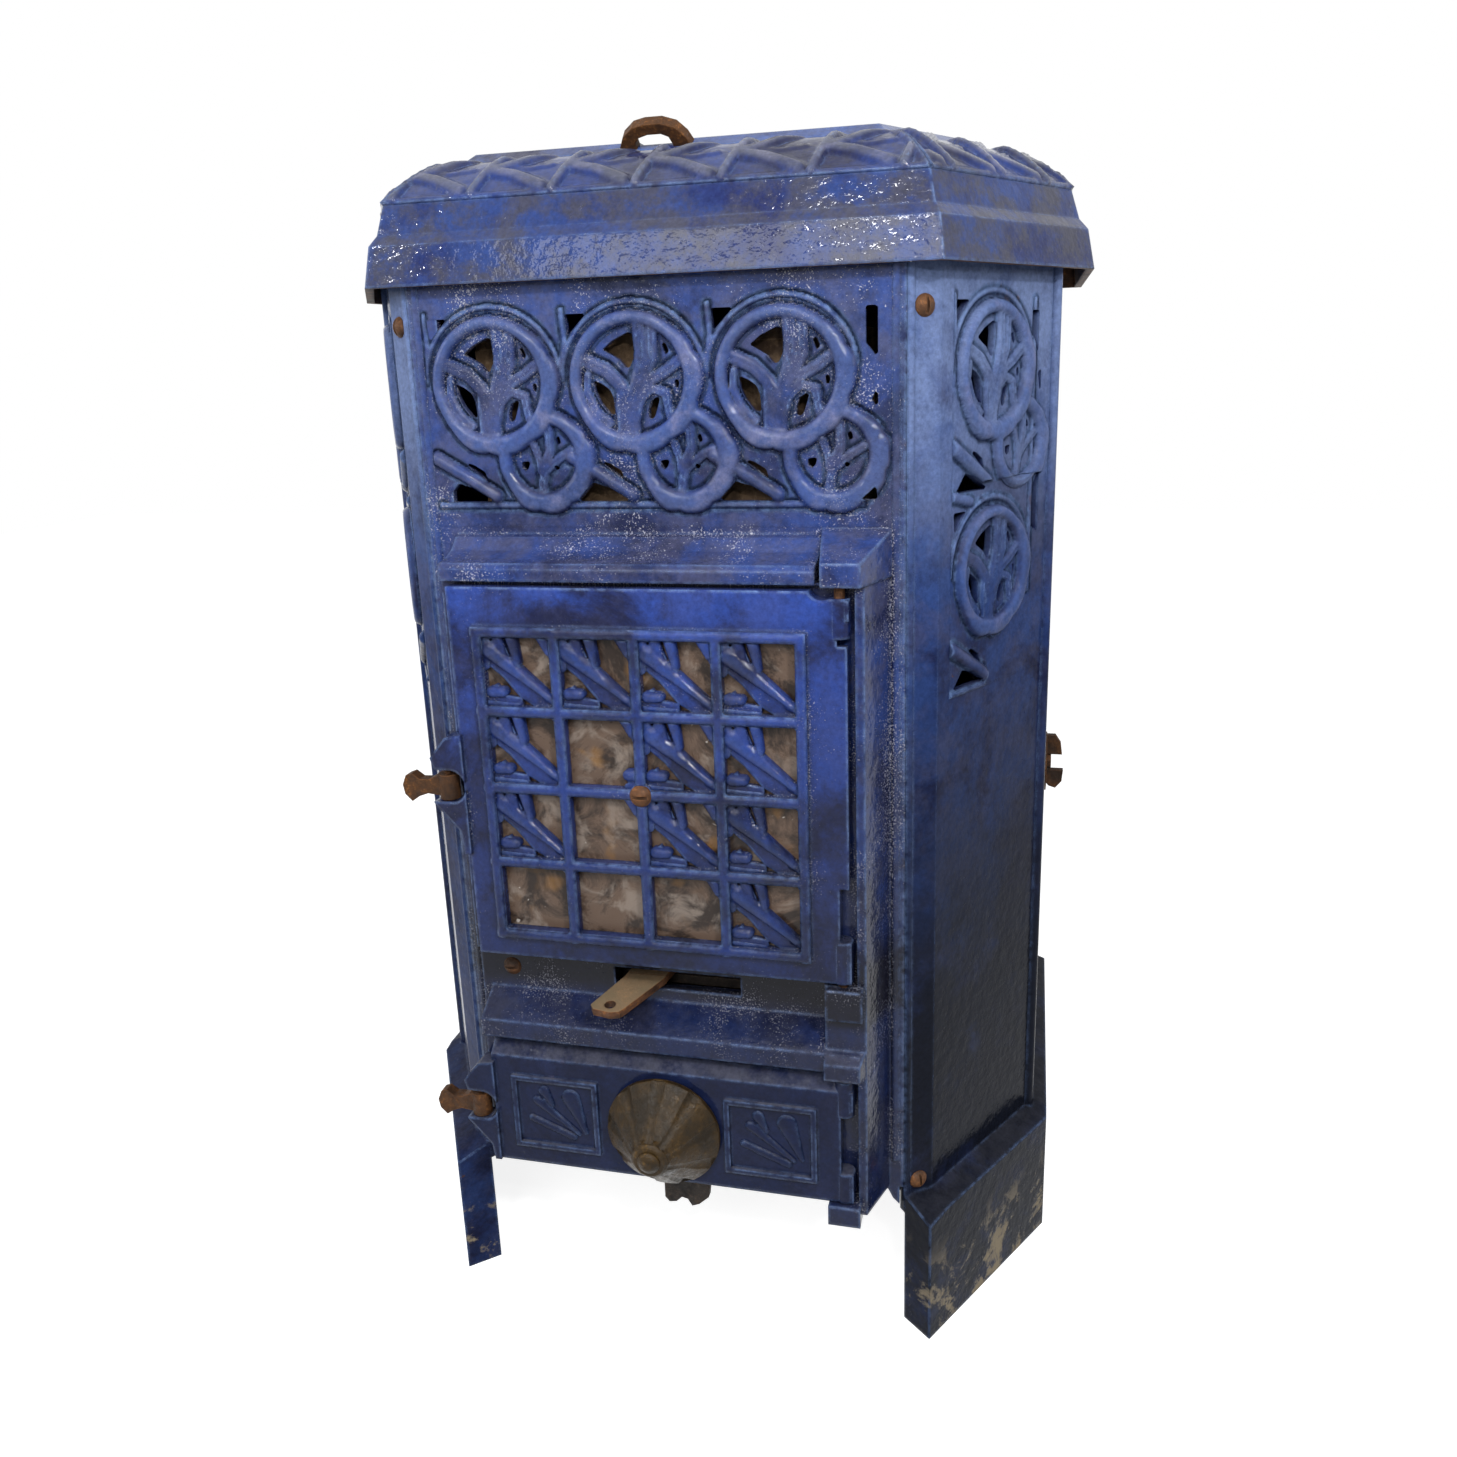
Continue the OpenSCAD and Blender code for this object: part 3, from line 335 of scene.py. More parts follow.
def blue_enamel(name, bright=(0.03, 0.065, 0.29), deep=(0.006, 0.009, 0.04),
                crest=(0.045, 0.075, 0.2), bloom=(0.05, 0.052, 0.1),
                shade_and_soot_color=(0.004, 0.006, 0.018), haze=0.35, specks=0.5, rust=0.15, darkening=0.0,
                dust=0.5, crest_wear=0.8, gloss=0.2, shine=0.3, upper_light=0.0, tan=0.0, band=0.0,
                lift=(0.5, 1.1), bare_inside=False, shift=0.0):
    """Cobalt enamel over iron: darkened in the hollows as painted shade, thin and pale on raised
    edges, where the edges also carry a painted highlight.
    """
    material, s, body, place = new_material(name)
    edges = s.group(EDGES, Radius=0.003, Place=place)
    edge, corner = edges.outputs["Edge"], edges.outputs["Corner"]
    drift = s.math("ADD", specks, s.math("MULTIPLY", corner, 0.35 * specks))
    speck = s.group(SPECKS, Place=place, Amount=drift)
    raised = s.add("ShaderNodeAttribute", attribute_name="raised").outputs["Fac"]
    parts = s.add("ShaderNodeSeparateXYZ")
    s.join(place, parts.inputs[0])
    up = facing_up(s)
    # glaze pooled light and dark, with a purple-grey bloom in patches
    pool = s.noise(place, 17.0, 8.0, 0.68, 0.4, shift)
    color = s.blend(s.ramp(pool, 0.38, 0.58), deep, bright)
    cloud = s.ramp(s.noise(place, 30.0, 9.0, 0.76, 0.2, shift + 2.0), 0.42, 0.6)
    color = s.blend(s.math("MULTIPLY", cloud, haze), color, bloom)
    # painted shade: the inner corners darkened towards the deep colour
    color = s.blend(s.math("MULTIPLY", corner, 0.85), color, deep)
    # painted shade and soot below, fading out upwards
    shaded_and_sooted = low_shade_and_soot_mask(s, place, parts, darkening, tan > 0, shift)
    color = s.blend(shaded_and_sooted, color, shade_and_soot_color)
    if band:
        shaded = band_mask(s, parts, band)
        color = s.blend(shaded, color, BLACK_BAND)
        shaded_and_sooted = s.math("MAXIMUM", shaded_and_sooted, shaded)
    # painted light: paler towards the cornice
    color = s.blend(upper_light_mask(s, place, parts, corner, upper_light, shift), color, UPPER_LIGHT_BLUE)
    # crests rubbed pale, and rims lightened by wear and by a painted highlight, with a grey film
    # on the crests
    wear_and_highlight = s.ramp(s.noise(place, 40.0, 4.0, 0.6, 0.0, shift + 6.0), 0.25, 0.55, 0.35, 1.0)
    wear_and_highlight = s.math("MULTIPLY", wear_and_highlight, s.math("SUBTRACT", 1.0, s.math("MULTIPLY", shaded_and_sooted, 0.4)))
    thin = s.math("MULTIPLY", s.ramp(raised, *lift, 0.0, 0.8), wear_and_highlight)
    color = s.blend(s.math("MULTIPLY", thin, crest_wear), color, crest)
    # painted highlight and wear: the open edges lightened
    color = s.blend(s.math("MULTIPLY", edge, wear_and_highlight), color, WORN_AND_HIGHLIT_RIM)
    film = s.ramp(s.noise(place, 52.0, 6.0, 0.7, 0.2, shift + 7.0), 0.46, 0.66)
    color = s.blend(s.math("MULTIPLY", film, s.math("MULTIPLY", thin, haze)), color, GREY_FILM)
    settled = dust_mask(s, place, up, dust, shift)
    color = s.blend(settled, color, PALE_DUST)
    # fine grain in the glaze and pale specks on it
    grain = s.ramp(s.noise(place, 330.0, 5.0, 0.75, 0.0, shift + 9.0), 0.3, 0.7, 0.55, 1.35, False)
    color = s.blend(0.7, color, grain, "MULTIPLY")
    pale = s.math("MULTIPLY", speck.outputs["Specks"], s.ramp(raised, 0.2, 0.9, 0.8, 0.25))
    pale = s.math("MULTIPLY", pale, s.math("SUBTRACT", 1.0, s.math("MULTIPLY", shaded_and_sooted, 0.7)))
    color = s.blend(pale, color, WHITE_SPECK)
    # rust where the enamel has gone
    bare = chip_mask(s, place, edge, rust, shift)
    if bare_inside:
        bare = s.math("MAXIMUM", bare, inside_mask(s, place, up))
    color = s.blend(bare, color, s.group(RUST, Place=place).outputs["Color"])
    if tan:
        patch = tan_mask(s, place, parts, tan, shift)
        color = s.blend(patch, color, TAN_GROUND)
        bare = s.math("MAXIMUM", bare, patch)
    s.join(color, body.inputs["Base Color"])
    body.inputs["Specular IOR Level"].default_value = shine
    rough = s.ramp(s.noise(place, 70.0, 5.0, 0.7, 0.0, shift + 20.0), 0.3, 0.7,
                   gloss, gloss + 0.07)
    rough = s.math("ADD", rough, s.math("MULTIPLY", settled, 0.35))
    rough = s.math("ADD", rough, s.math("MULTIPLY", cloud, 0.05 * haze))
    rough = s.math("ADD", rough, s.math("MULTIPLY", bare, 0.5), True)
    s.join(rough, body.inputs["Roughness"])
    ripple = s.noise(place, 120.0, 3.0, 0.6, 0.0, shift + 23.0)
    height = s.math("ADD", s.math("MULTIPLY", ripple, 0.75),
                    s.math("MULTIPLY", speck.outputs["Specks"], 0.2))
    height = s.math("SUBTRACT", height, s.math("MULTIPLY", bare, 0.3))
    height = s.math("SUBTRACT", height, s.math("MULTIPLY", speck.outputs["Pits"], 0.3))
    dent(s, body, height, 0.6, 0.0012, edges.outputs["Soft Normal"])
    return material


def rusty_iron(name, dark=(0.02, 0.011, 0.007), middle=(0.10, 0.045, 0.02),
               bright=(0.30, 0.12, 0.035), dusty=(0.30, 0.24, 0.16), dust=0.0,
               rough=0.55, metal=0.08, radius=0.0012):
    """Bare iron under brown rust, dusty on top where it is handled little."""
    material, s, body, place = new_material(name)
    edges = s.group(EDGES, Radius=radius, Place=place)
    scale = s.group(RUST, Place=place, Dark=(*dark, 1.0), Middle=(*middle, 1.0),
                    Bright=(*bright, 1.0))
    color = s.blend(s.math("MULTIPLY", edges.outputs["Edge"], 0.5), scale.outputs["Color"], bright)
    settled = s.math("MULTIPLY", s.ramp(facing_up(s), 0.2, 0.85), dust)
    color = s.blend(settled, color, dusty)
    # painted shade: the inner corners darkened towards the dark rust
    color = s.blend(s.math("MULTIPLY", edges.outputs["Corner"], 0.6), color, dark)
    s.join(color, body.inputs["Base Color"])
    body.inputs["Metallic"].default_value = metal
    body.inputs["Specular IOR Level"].default_value = 0.15
    s.join(s.ramp(s.noise(place, 240.0, 4.0, 0.7), 0.3, 0.7, rough - 0.14, rough + 0.2),
           body.inputs["Roughness"])
    dent(s, body, scale.outputs["Height"], 0.7, 0.0009, edges.outputs["Soft Normal"])
    return material


def smoked_mica(name):
    """Sheets of mica browned by smoke, mottled grey, with amber where it is thin."""
    material, s, body, place = new_material(name)
    cloud = s.noise(place, 30.0, 6.0, 0.68, 1.4)
    color = s.blend(s.ramp(cloud, 0.38, 0.56), (0.02, 0.013, 0.01), (0.085, 0.056, 0.04))
    pale = s.ramp(s.noise(place, 42.0, 5.0, 0.6, 0.9, 4.0), 0.5, 0.66)
    color = s.blend(s.math("MULTIPLY", pale, 0.8), color, (0.18, 0.145, 0.12))
    amber = s.ramp(s.noise(place, 24.0, 3.0, 0.5, 0.6, 9.0), 0.6, 0.7)
    color = s.blend(s.math("MULTIPLY", amber, 0.6), color, (0.22, 0.11, 0.03))
    flake = s.ramp(s.noise(place, 65.0, 3.0, 0.5, 2.5, 13.0), 0.7, 0.73)
    color = s.blend(s.math("MULTIPLY", flake, 0.8), color, (0.42, 0.38, 0.34))
    s.join(color, body.inputs["Base Color"])
    s.join(s.ramp(cloud, 0.3, 0.7, 0.1, 0.4), body.inputs["Roughness"])
    body.inputs["Specular IOR Level"].default_value = 0.2
    dent(s, body, s.math("ADD", cloud, s.math("MULTIPLY", pale, 0.4)), 0.5, 0.001)
    return material


def sooty_brick(name):
    """Firebrick, grainy and buff, blackened in patches."""
    material, s, body, place = new_material(name)
    grain = s.noise(place, 90.0, 6.0, 0.75)
    color = s.blend(s.ramp(grain, 0.35, 0.65), (0.16, 0.11, 0.07), (0.34, 0.25, 0.16))
    darkening = s.ramp(s.noise(place, 12.0, 5.0, 0.6, 0.0, 3.0), 0.4, 0.62)
    color = s.blend(darkening, color, (0.02, 0.018, 0.017))
    s.join(color, body.inputs["Base Color"])
    body.inputs["Roughness"].default_value = 0.92
    dent(s, body, grain, 1.0, 0.001)
    return material


ENAMEL_CASING = blue_enamel("casing_enamel", bright=(0.018, 0.04, 0.165), haze=0.65, specks=0.66,
                            darkening=0.8, rust=0.12, dust=0.1, gloss=0.05, shine=0.17,
                            upper_light=0.1, band=0.9)
ENAMEL_SIDE = blue_enamel("side_enamel", bright=(0.018, 0.04, 0.14), haze=0.45, specks=0.35,
                          darkening=0.98, rust=0.2, dust=0.1, gloss=0.08, shine=0.03, upper_light=1.0,
                          tan=0.8, shade_and_soot_color=(0.005, 0.006, 0.01), shift=31.0)
ENAMEL_TOP = blue_enamel("cornice_enamel", bright=(0.018, 0.038, 0.14), deep=(0.008, 0.014, 0.07),
                         crest=(0.065, 0.07, 0.095), bloom=(0.038, 0.038, 0.055), haze=0.9,
                         specks=0.3, rust=0.25, dust=0.12, crest_wear=0.95, gloss=0.03,
                         shine=0.2, bare_inside=True, shift=47.0)
ENAMEL_ROOF = blue_enamel("roof_enamel", bright=(0.012, 0.03, 0.14), deep=(0.003, 0.006, 0.04),
                          crest=(0.07, 0.075, 0.1), bloom=(0.03, 0.03, 0.045), haze=0.6,
                          specks=0.4, rust=0.12, dust=0.15, crest_wear=0.95, gloss=0.03,
                          shine=0.25, lift=(0.3, 0.9), shift=47.0)
ENAMEL_PLATE = blue_enamel("top_plate_enamel", bright=(0.035, 0.075, 0.24), haze=0.4,
                           specks=0.3, rust=0.5, dust=0.3, gloss=0.04, shine=0.24, shift=53.0)
ENAMEL_DOOR = blue_enamel("door_enamel", bright=(0.018, 0.046, 0.23), crest=(0.04, 0.08, 0.22),
                          haze=0.2, specks=0.55, darkening=0.82, rust=0.15, dust=0.15,
                          crest_wear=0.5, gloss=0.04, shine=0.17, shift=63.0)
ENAMEL_ASH = blue_enamel("ash_door_enamel", bright=(0.014, 0.03, 0.12), haze=0.3, specks=0.4,
                         darkening=0.8, rust=0.22, dust=0.4, gloss=0.05, shine=0.1, shift=71.0)
RUSTY = rusty_iron("rusty_handles", middle=(0.06, 0.026, 0.01), bright=(0.2, 0.08, 0.022))
RUSTY_LEVER = rusty_iron("dusty_lever", dust=0.6, middle=(0.09, 0.04, 0.02),
                         dusty=(0.2, 0.15, 0.09))
RUSTY_KNOB = rusty_iron("brown_regulator", dark=(0.012, 0.008, 0.004),
                        middle=(0.028, 0.016, 0.005), bright=(0.09, 0.05, 0.013), rough=0.35)
RUSTY_SCREWS = rusty_iron("rusty_screws", middle=(0.09, 0.04, 0.018), bright=(0.22, 0.09, 0.03))
DARK_IRON = rusty_iron("sooty_iron", dark=(0.01, 0.009, 0.009), middle=(0.035, 0.028, 0.024),
                       bright=(0.09, 0.06, 0.04))
BROWN_IRON = rusty_iron("firebox_iron", dark=(0.05, 0.03, 0.018), middle=(0.17, 0.11, 0.065),
                        bright=(0.36, 0.25, 0.15), dust=0.4)
BRICK = sooty_brick("firebrick")
MICA = smoked_mica("mica_panes")

FINISH = {
    ENAMEL_CASING: ["front_plate", "back_plate"],
    ENAMEL_SIDE: ["left_side", "right_side"],
    ENAMEL_TOP: ["top_cover"],
    ENAMEL_PLATE: ["top_plate"],
    ENAMEL_DOOR: ["fire_door"],
    ENAMEL_ASH: ["ash_door"],
    RUSTY: ["top_handle", "fire_latch", "ash_latch", "side_shutter"],
    RUSTY_LEVER: ["riddling_lever"],
    RUSTY_KNOB: ["air_regulator", "regulator_spindle"],
    RUSTY_SCREWS: ["mica_screw", "mica_nut", "regulator_nut", "collar_screws", "front_screws",
                   "back_screws", "shutter_screw", "fire_door_pins", "fire_latch_pin",
                   "ash_door_pins", "ash_latch_pin"],
    DARK_IRON: ["base_plate", "ash_chamber", "grate_frame", "grate", "ash_pan", "mica_frame"],
    BROWN_IRON: ["firebox", "firebox_lid", "flue_collar"],
    BRICK: ["back_brick", "left_brick", "right_brick"],
    MICA: ["mica_upper_left", "mica_upper_right", "mica_lower_left", "mica_lower_right"],
}


def finish_castings():
    """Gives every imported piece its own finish."""
    for material, names in FINISH.items():
        for name in names:
            for place in frame["nodes"][name].material_slots:
                place.material = material


# ---------------------------------------------------------------- relief castings
def to_line(x, z, points):
    """Distance from each place to a line through the points."""
    best = np.full(x.shape, 1e9)
    for (ax, az), (bx, bz) in zip(points[:-1], points[1:]):
        run, rise = bx - ax, bz - az
        along = np.clip(((x - ax) * run + (z - az) * rise) / (run * run + rise * rise), 0, 1)
        best = np.minimum(best, np.hypot(x - ax - along * run, z - az - along * rise))
    return best


def to_outline(x, z, outline):
    """Signed distance to a closed outline, below zero inside it."""
    within = np.zeros(x.shape, bool)
    for (ax, az), (bx, bz) in zip(outline, outline[1:] + outline[:1]):
        if az != bz:
            within ^= ((az > z) != (bz > z)) & (x < (bx - ax) * (z - az) / (bz - az) + ax)
    away = to_line(x, z, outline + outline[:1])
    return np.where(within, -away, away)


def ridge(away, half, height, power=0.6):
    """A rounded ridge along a line, nothing past half its width."""
    return height * np.clip(1 - (away / half) ** 2, 0, None) ** power


SNAP = 0.55             # share of a cell within which a place moves on to the edge
FULL_RELIEF = 4.0       # height in millimetres at which the attribute raised reads 1
SHARP = math.radians(50)
PROUD = 0.15            # how far a relief casting stands off the plate it covers


def grid_on_metal(span, cell, metal):
    """The places of a grid that lie on the iron, those near its edge moved on to it, and
    each place's number over the whole grid."""
    (x0, x1), (z0, z1) = span
    x, z = np.meshgrid(np.linspace(x0, x1, round((x1 - x0) / cell) + 1),
                       np.linspace(z0, z1, round((z1 - z0) / cell) + 1), indexing="ij")
    away, step = metal(x, z), 0.05
    slope_x = (metal(x + step, z) - metal(x - step, z)) / (2 * step)
    slope_z = (metal(x, z + step) - metal(x, z - step)) / (2 * step)
    steep = np.maximum(slope_x ** 2 + slope_z ** 2, 0.3)
    snap = np.where(np.abs(away) < SNAP * cell, away, 0.0) / steep
    x, z = np.clip(x - snap * slope_x, x0, x1), np.clip(z - snap * slope_z, z0, z1)
    kept = away < SNAP * cell
    number = np.full(kept.shape, -1)
    number[kept] = np.arange(kept.sum())
    return x[kept], z[kept], number


def sheet_faces(number, count, flip):
    """Faces of a closed sheet: over the places, under them, and the walls between."""
    ring = np.stack([number[:-1, :-1], number[1:, :-1], number[1:, 1:], number[:-1, 1:]], -1)
    ring = ring.reshape(-1, 4)
    missing = (ring < 0).sum(1)
    faces = ring[missing == 0].tolist()
    faces += [[v for v in face if v >= 0] for face in ring[missing == 1].tolist()]
    if flip:
        faces = [face[::-1] for face in faces]
    edges = {(a, b) for face in faces for a, b in zip(face, face[1:] + face[:1])}
    walls = [(b, a, a + count, b + count) for a, b in edges if (b, a) not in edges]
    under = [[v + count for v in face[::-1]] for face in faces]
    return faces + under + walls


def cast_sheet(name, span, cell, metal, relief, lay, back, material, flip=False):
    """A closed relief casting over a grid of cells. metal() is below zero where there is
    iron, relief() is its height there, and lay() carries both on to the stove."""
    x, z, number = grid_on_metal(span, cell, metal)
    count = len(x)
    high = relief(x, z)
    points = np.concatenate([lay(x, z, high), lay(x, z, np.full(count, back))])
    points = points * MM + np.array([0, FACE_Y, 0])
    mesh = bpy.data.meshes.new(name)
    mesh.from_pydata(points.tolist(), [], sheet_faces(number, count, flip))
    mesh.materials.append(material)
    raised = mesh.attributes.new("raised", "FLOAT", "POINT")
    raised.data.foreach_set("value", np.concatenate([high / FULL_RELIEF, np.zeros(count)]))
    mesh.polygons.foreach_set("use_smooth", np.ones(len(mesh.polygons), bool))
    mesh.set_sharp_from_angle(angle=SHARP)
    return link_piece(name, mesh)


# openings of the frieze, round the middle of a ring
LEAF_HOLES = [
    [(-17, 16.3), (-11, 21), (-1.8, 25.2), (1.2, 24.7), (1.8, 19), (1.2, 11), (-1.2, 6.3),
     (-4, 6.3), (-8, 11), (-13.5, 14.2)],
    [(-23.4, 0.5), (-18, -2), (-13.5, -5.3), (-11.7, -10), (-11, -19.5), (-15.2, -18.4),
     (-19.9, -12.6), (-22.8, -6.3)],
    [(14, -9.5), (15.2, -11), (14, -15.3), (12.3, -20), (10.5, -22), (8.2, -21), (8.2, -16.8),
     (9.9, -12)],
    [(17.3, 19.5), (19.9, 19), (21.6, 15.3), (21.4, 12), (19.5, 12.8), (18.1, 16.3)],
    [(24, -1), (26.3, 0), (26.9, -3), (25.9, -6.4), (24.6, -5.3)]]
SMALL_HOLES = [[(-14, -2), (-8.5, -1.5), (-9.8, -5.5), (-12, -7.5), (-14, -5.5)],
               [(6, -4.5), (9.5, -3.5), (9.5, -6), (7, -7.5)],
               [(7.5, 12), (10.5, 12), (11, 8), (8.5, 7.5)]]
CORNER_HOLES = [[(-38, 36), (-25, 36), (-30, 31), (-37, 24)],
                [(-37, -67.5), (-27, -56.5), (-17, -59.5), (-3, -67.5)],
                [(-24, -43.5), (-16, -46), (-9.4, -50), (-7.7, -56), (-13.8, -51.5)]]
FRONT_END_HOLES = [[(46, 34), (52.5, 34), (52.5, 7), (46, 15)],
                   [(49, -14), (52.5, -6), (52.5, -20)], [(43, -67), (52, -59), (52, -67)]]
SMALL_AT = (28, -42.5)
# middles of the rings: height of the row, places along the front, drop to the next row
RING_Z = 603
FRONT_RINGS = [-93, -9, 75]
RING_DROP = 114
# inner and outer radius and height of both rings
BIG_RIM = (30, 36.5, 4.7)
SMALL_RIM = (20, 27.5, 4.0)
OUTER_LINE = 41.5       # radius of the thin line round a big ring
# stems inside a ring: points of the line and half the width
STEMS = [([(-3, -31), (-2.5, -14), (-7, -3), (-15, 5), (-26, 10)], 4.2),
         ([(-1, -31), (0, -10), (4.6, 4), (6, 14), (5, 30)], 4.4),
         ([(1, -14), (6, 0), (12, 10), (12.5, 27)], 3.4),
         ([(1, -12), (10, -1), (20, 4), (27, 9)], 3.6),
         ([(1, -22), (4, -11), (11, -5), (19, -8), (21, -20)], 2.9),
         ([(-7, -5), (-8, -14), (-7.5, -29)], 2.8),
         ([(-26, 3), (-27, -6), (-22, -17), (-14, -24)], 2.4)]
SMALL_STEMS = [([(-2, -18), (0, -6), (4, 4), (4, 16)], 3.2), ([(0, -8), (10, 0), (17, 4)], 2.8),
               ([(-6, 8), (-3, 0), (-2, -8)], 2.4)]


def holes_away(x, z, groups):
    """Signed distance to iron pierced by holes, each group set about its own middle."""
    away = np.full(x.shape, -1e9)
    for (mx, mz), holes in groups:
        for hole in holes:
            away = np.maximum(away, -to_outline(x - mx, z - mz, hole))
    return away


def rolled_rim(x, z, inner, outer, height):
    """A ring rounded like a rope, its lower right edge spread into scallops."""
    away = np.hypot(x, z)
    turn = np.arctan2(z, x)
    middle = (inner + outer) / 2
    spread = np.clip(np.cos(turn + 0.85) * 1.6 + 0.25, 0, 1)
    lobe = np.abs(np.sin((turn + 0.3) * 4.5))
    reach = outer - middle + 0.6 + spread * (2.2 + 2.2 * lobe ** 0.6)
    half = np.where(away > middle, reach, middle - inner + 0.7)
    steep = np.where(away > middle, 2.0 + 2.5 * spread, 2.0)
    return height * np.clip(1 - (np.abs(away - middle) / half) ** steep, 0, None) ** 0.55


def ring_relief(x, z):
    """A big ring, the stems inside it and the thin line round its upper half."""
    away = np.hypot(x, z)
    high = rolled_rim(x, z, *BIG_RIM)
    line = ridge(np.abs(away - OUTER_LINE), 1.7, 0.7)
    high = np.maximum(high, line * (np.arctan2(z, x) > 0.1))
    for points, half in STEMS:
        line = to_line(x, z, points)
        stem = ridge(line, half, 2.5) - ridge(line, 1.0, 0.9)
        high = np.maximum(high, stem * (away < BIG_RIM[0] + 1))
    return high


def small_ring_relief(x, z, from_big):
    """A small ring and its stems, cut off where the big ring passes over it."""
    away = np.hypot(x, z)
    high = rolled_rim(x, z, *SMALL_RIM)
    for points, half in SMALL_STEMS:
        line = to_line(x, z, points)
        stem = ridge(line, half, 2.2) - ridge(line, 0.9, 0.7)
        high = np.maximum(high, stem * (away < SMALL_RIM[0] + 1))
    return high * (from_big > BIG_RIM[1] + 1)


def frieze_tile(x, z):
    """One big ring with its small ring and the bar that braces them."""
    high = np.maximum(ring_relief(x, z), small_ring_relief(
        x - SMALL_AT[0], z - SMALL_AT[1], np.hypot(x, z)))
    bar = to_line(x, z, [(-39, -42), (-22, -52), (-3, -64)])
    high = np.maximum(high, ridge(bar, 4.2, 3.2, 0.7))
    frame = to_line(x, z, [(-39, -69.5), (44, -69.5)])
    high = np.maximum(high, ridge(frame, 2.0, 1.1))
    post = to_line(x, z, [(-40, 38), (-39, 22), (-42, 6)])
    return np.maximum(high, ridge(post, 1.8, 0.7))


FRIEZE_HALF, FRIEZE_LOW, FRIEZE_HIGH = 135, 521, 656
FRIEZE_CELL = 1.0


def lay_on_front(x, z, high):
    return np.stack([x, -PROUD - high, z], -1)


def cast_front_frieze():
    """Three ringed tiles side by side over the fire door, pierced between the stems."""
    def metal(x, z):
        groups = [((rx, RING_Z), LEAF_HOLES) for rx in FRONT_RINGS]
        groups += [((rx + SMALL_AT[0], RING_Z + SMALL_AT[1]), SMALL_HOLES) for rx in FRONT_RINGS]
        groups += [((rx, RING_Z), CORNER_HOLES) for rx in FRONT_RINGS]
        groups += [((FRONT_RINGS[-1], RING_Z), FRONT_END_HOLES)]
        return holes_away(x, z, groups)

    def relief(x, z):
        high = np.zeros(x.shape)
        for rx in FRONT_RINGS:
            high = np.maximum(high, frieze_tile(x - rx, z - RING_Z))
        return high * np.clip((FRIEZE_HALF - np.abs(x)) / 2, 0, 1)
    span = (-FRIEZE_HALF, FRIEZE_HALF), (FRIEZE_LOW, FRIEZE_HIGH)
    piece = cast_sheet("front_frieze", span, FRIEZE_CELL, metal, relief, lay_on_front, 0.1,
                       ENAMEL_CASING)
    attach(piece, "casing")


# the splayed panels: where the pillar ends and which way the panel runs and faces
PANEL_FROM = np.array([151.0, -2.722])
PANEL_RUN = np.array([0.5, 0.866025])
PANEL_OUT = np.array([0.866025, -0.5])
SIDE_RINGS = [(68.6, RING_Z), (69.5, RING_Z - RING_DROP)]
SIDE_START, SIDE_END, SIDE_LOW = 28.5, 131, 418
SIDE_END_HOLES = [[(109, 31), (117, 31), (117, 6), (109, 18)],
                  [(117, -4), (121, -2), (121, -20)],
                  [(113, -72), (122, -60), (122, -99), (113, -94)]]


def lay_on_panel(hand):
    """Places on the splayed panel of the right (1) or left (-1) side."""
    def lay(run, z, high):
        x = PANEL_FROM[0] + run * PANEL_RUN[0] + (high + PROUD) * PANEL_OUT[0]
        y = PANEL_FROM[1] + run * PANEL_RUN[1] + (high + PROUD) * PANEL_OUT[1]
        return np.stack([hand * x, y, z], -1)
    return lay


def cast_side_friezes():
    """Two ringed tiles, one under the other, on each splayed panel."""
    upper, lower = SIDE_RINGS

    def metal(x, z):
        groups = [(upper, LEAF_HOLES), (lower, LEAF_HOLES),
                  ((upper[0] + SMALL_AT[0], upper[1] + SMALL_AT[1]), SMALL_HOLES)]
        groups += [((upper[0], level), CORNER_HOLES) for level in (RING_Z, RING_Z - RING_DROP)]
        groups += [((0, RING_Z), SIDE_END_HOLES)]
        return np.maximum(holes_away(x, z, groups), SIDE_START - x)

    def relief(x, z):
        high = frieze_tile(x - upper[0], z - upper[1])
        bar = to_line(x, z, [(30, 534), (47, 530)])
        high = np.maximum(high * (z > 540), ridge(bar, 3.0, 2.0))
        low = frieze_tile(x - lower[0], z - lower[1])
        high = np.maximum(high, ring_relief(x - lower[0], z - lower[1]))
        high = np.maximum(high, low * (z < 489) * (x < 66))
        edge = to_line(x, z, [(112, 640), (112, 470)])
        return np.maximum(high, ridge(edge, 2.0, 0.8)) * np.clip((SIDE_END - 1 - x) / 3, 0, 1)
    span = (SIDE_START, SIDE_END), (SIDE_LOW, FRIEZE_HIGH)
    for side, hand in (("right", 1), ("left", -1)):
        piece = cast_sheet(f"{side}_frieze", span, FRIEZE_CELL, metal, relief,
                           lay_on_panel(hand), -0.1, ENAMEL_SIDE, flip=hand < 0)
        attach(piece, "casing")


# window grid of the fire door: its middle, pitch of the bars and half their width
GRID_X, GRID_Z, PITCH, BAR = -5.5, 370.6, 47.5, 3.0
GRID_SCREW = 6.2        # radius left free round the screw in the middle
GRID_FACE = -36.0       # how far forward the bars stand, and the leaves between them
LEAF_FACE = -33.1
LEAF_DEPTH = 4.0
ASH_FACE = -33.0


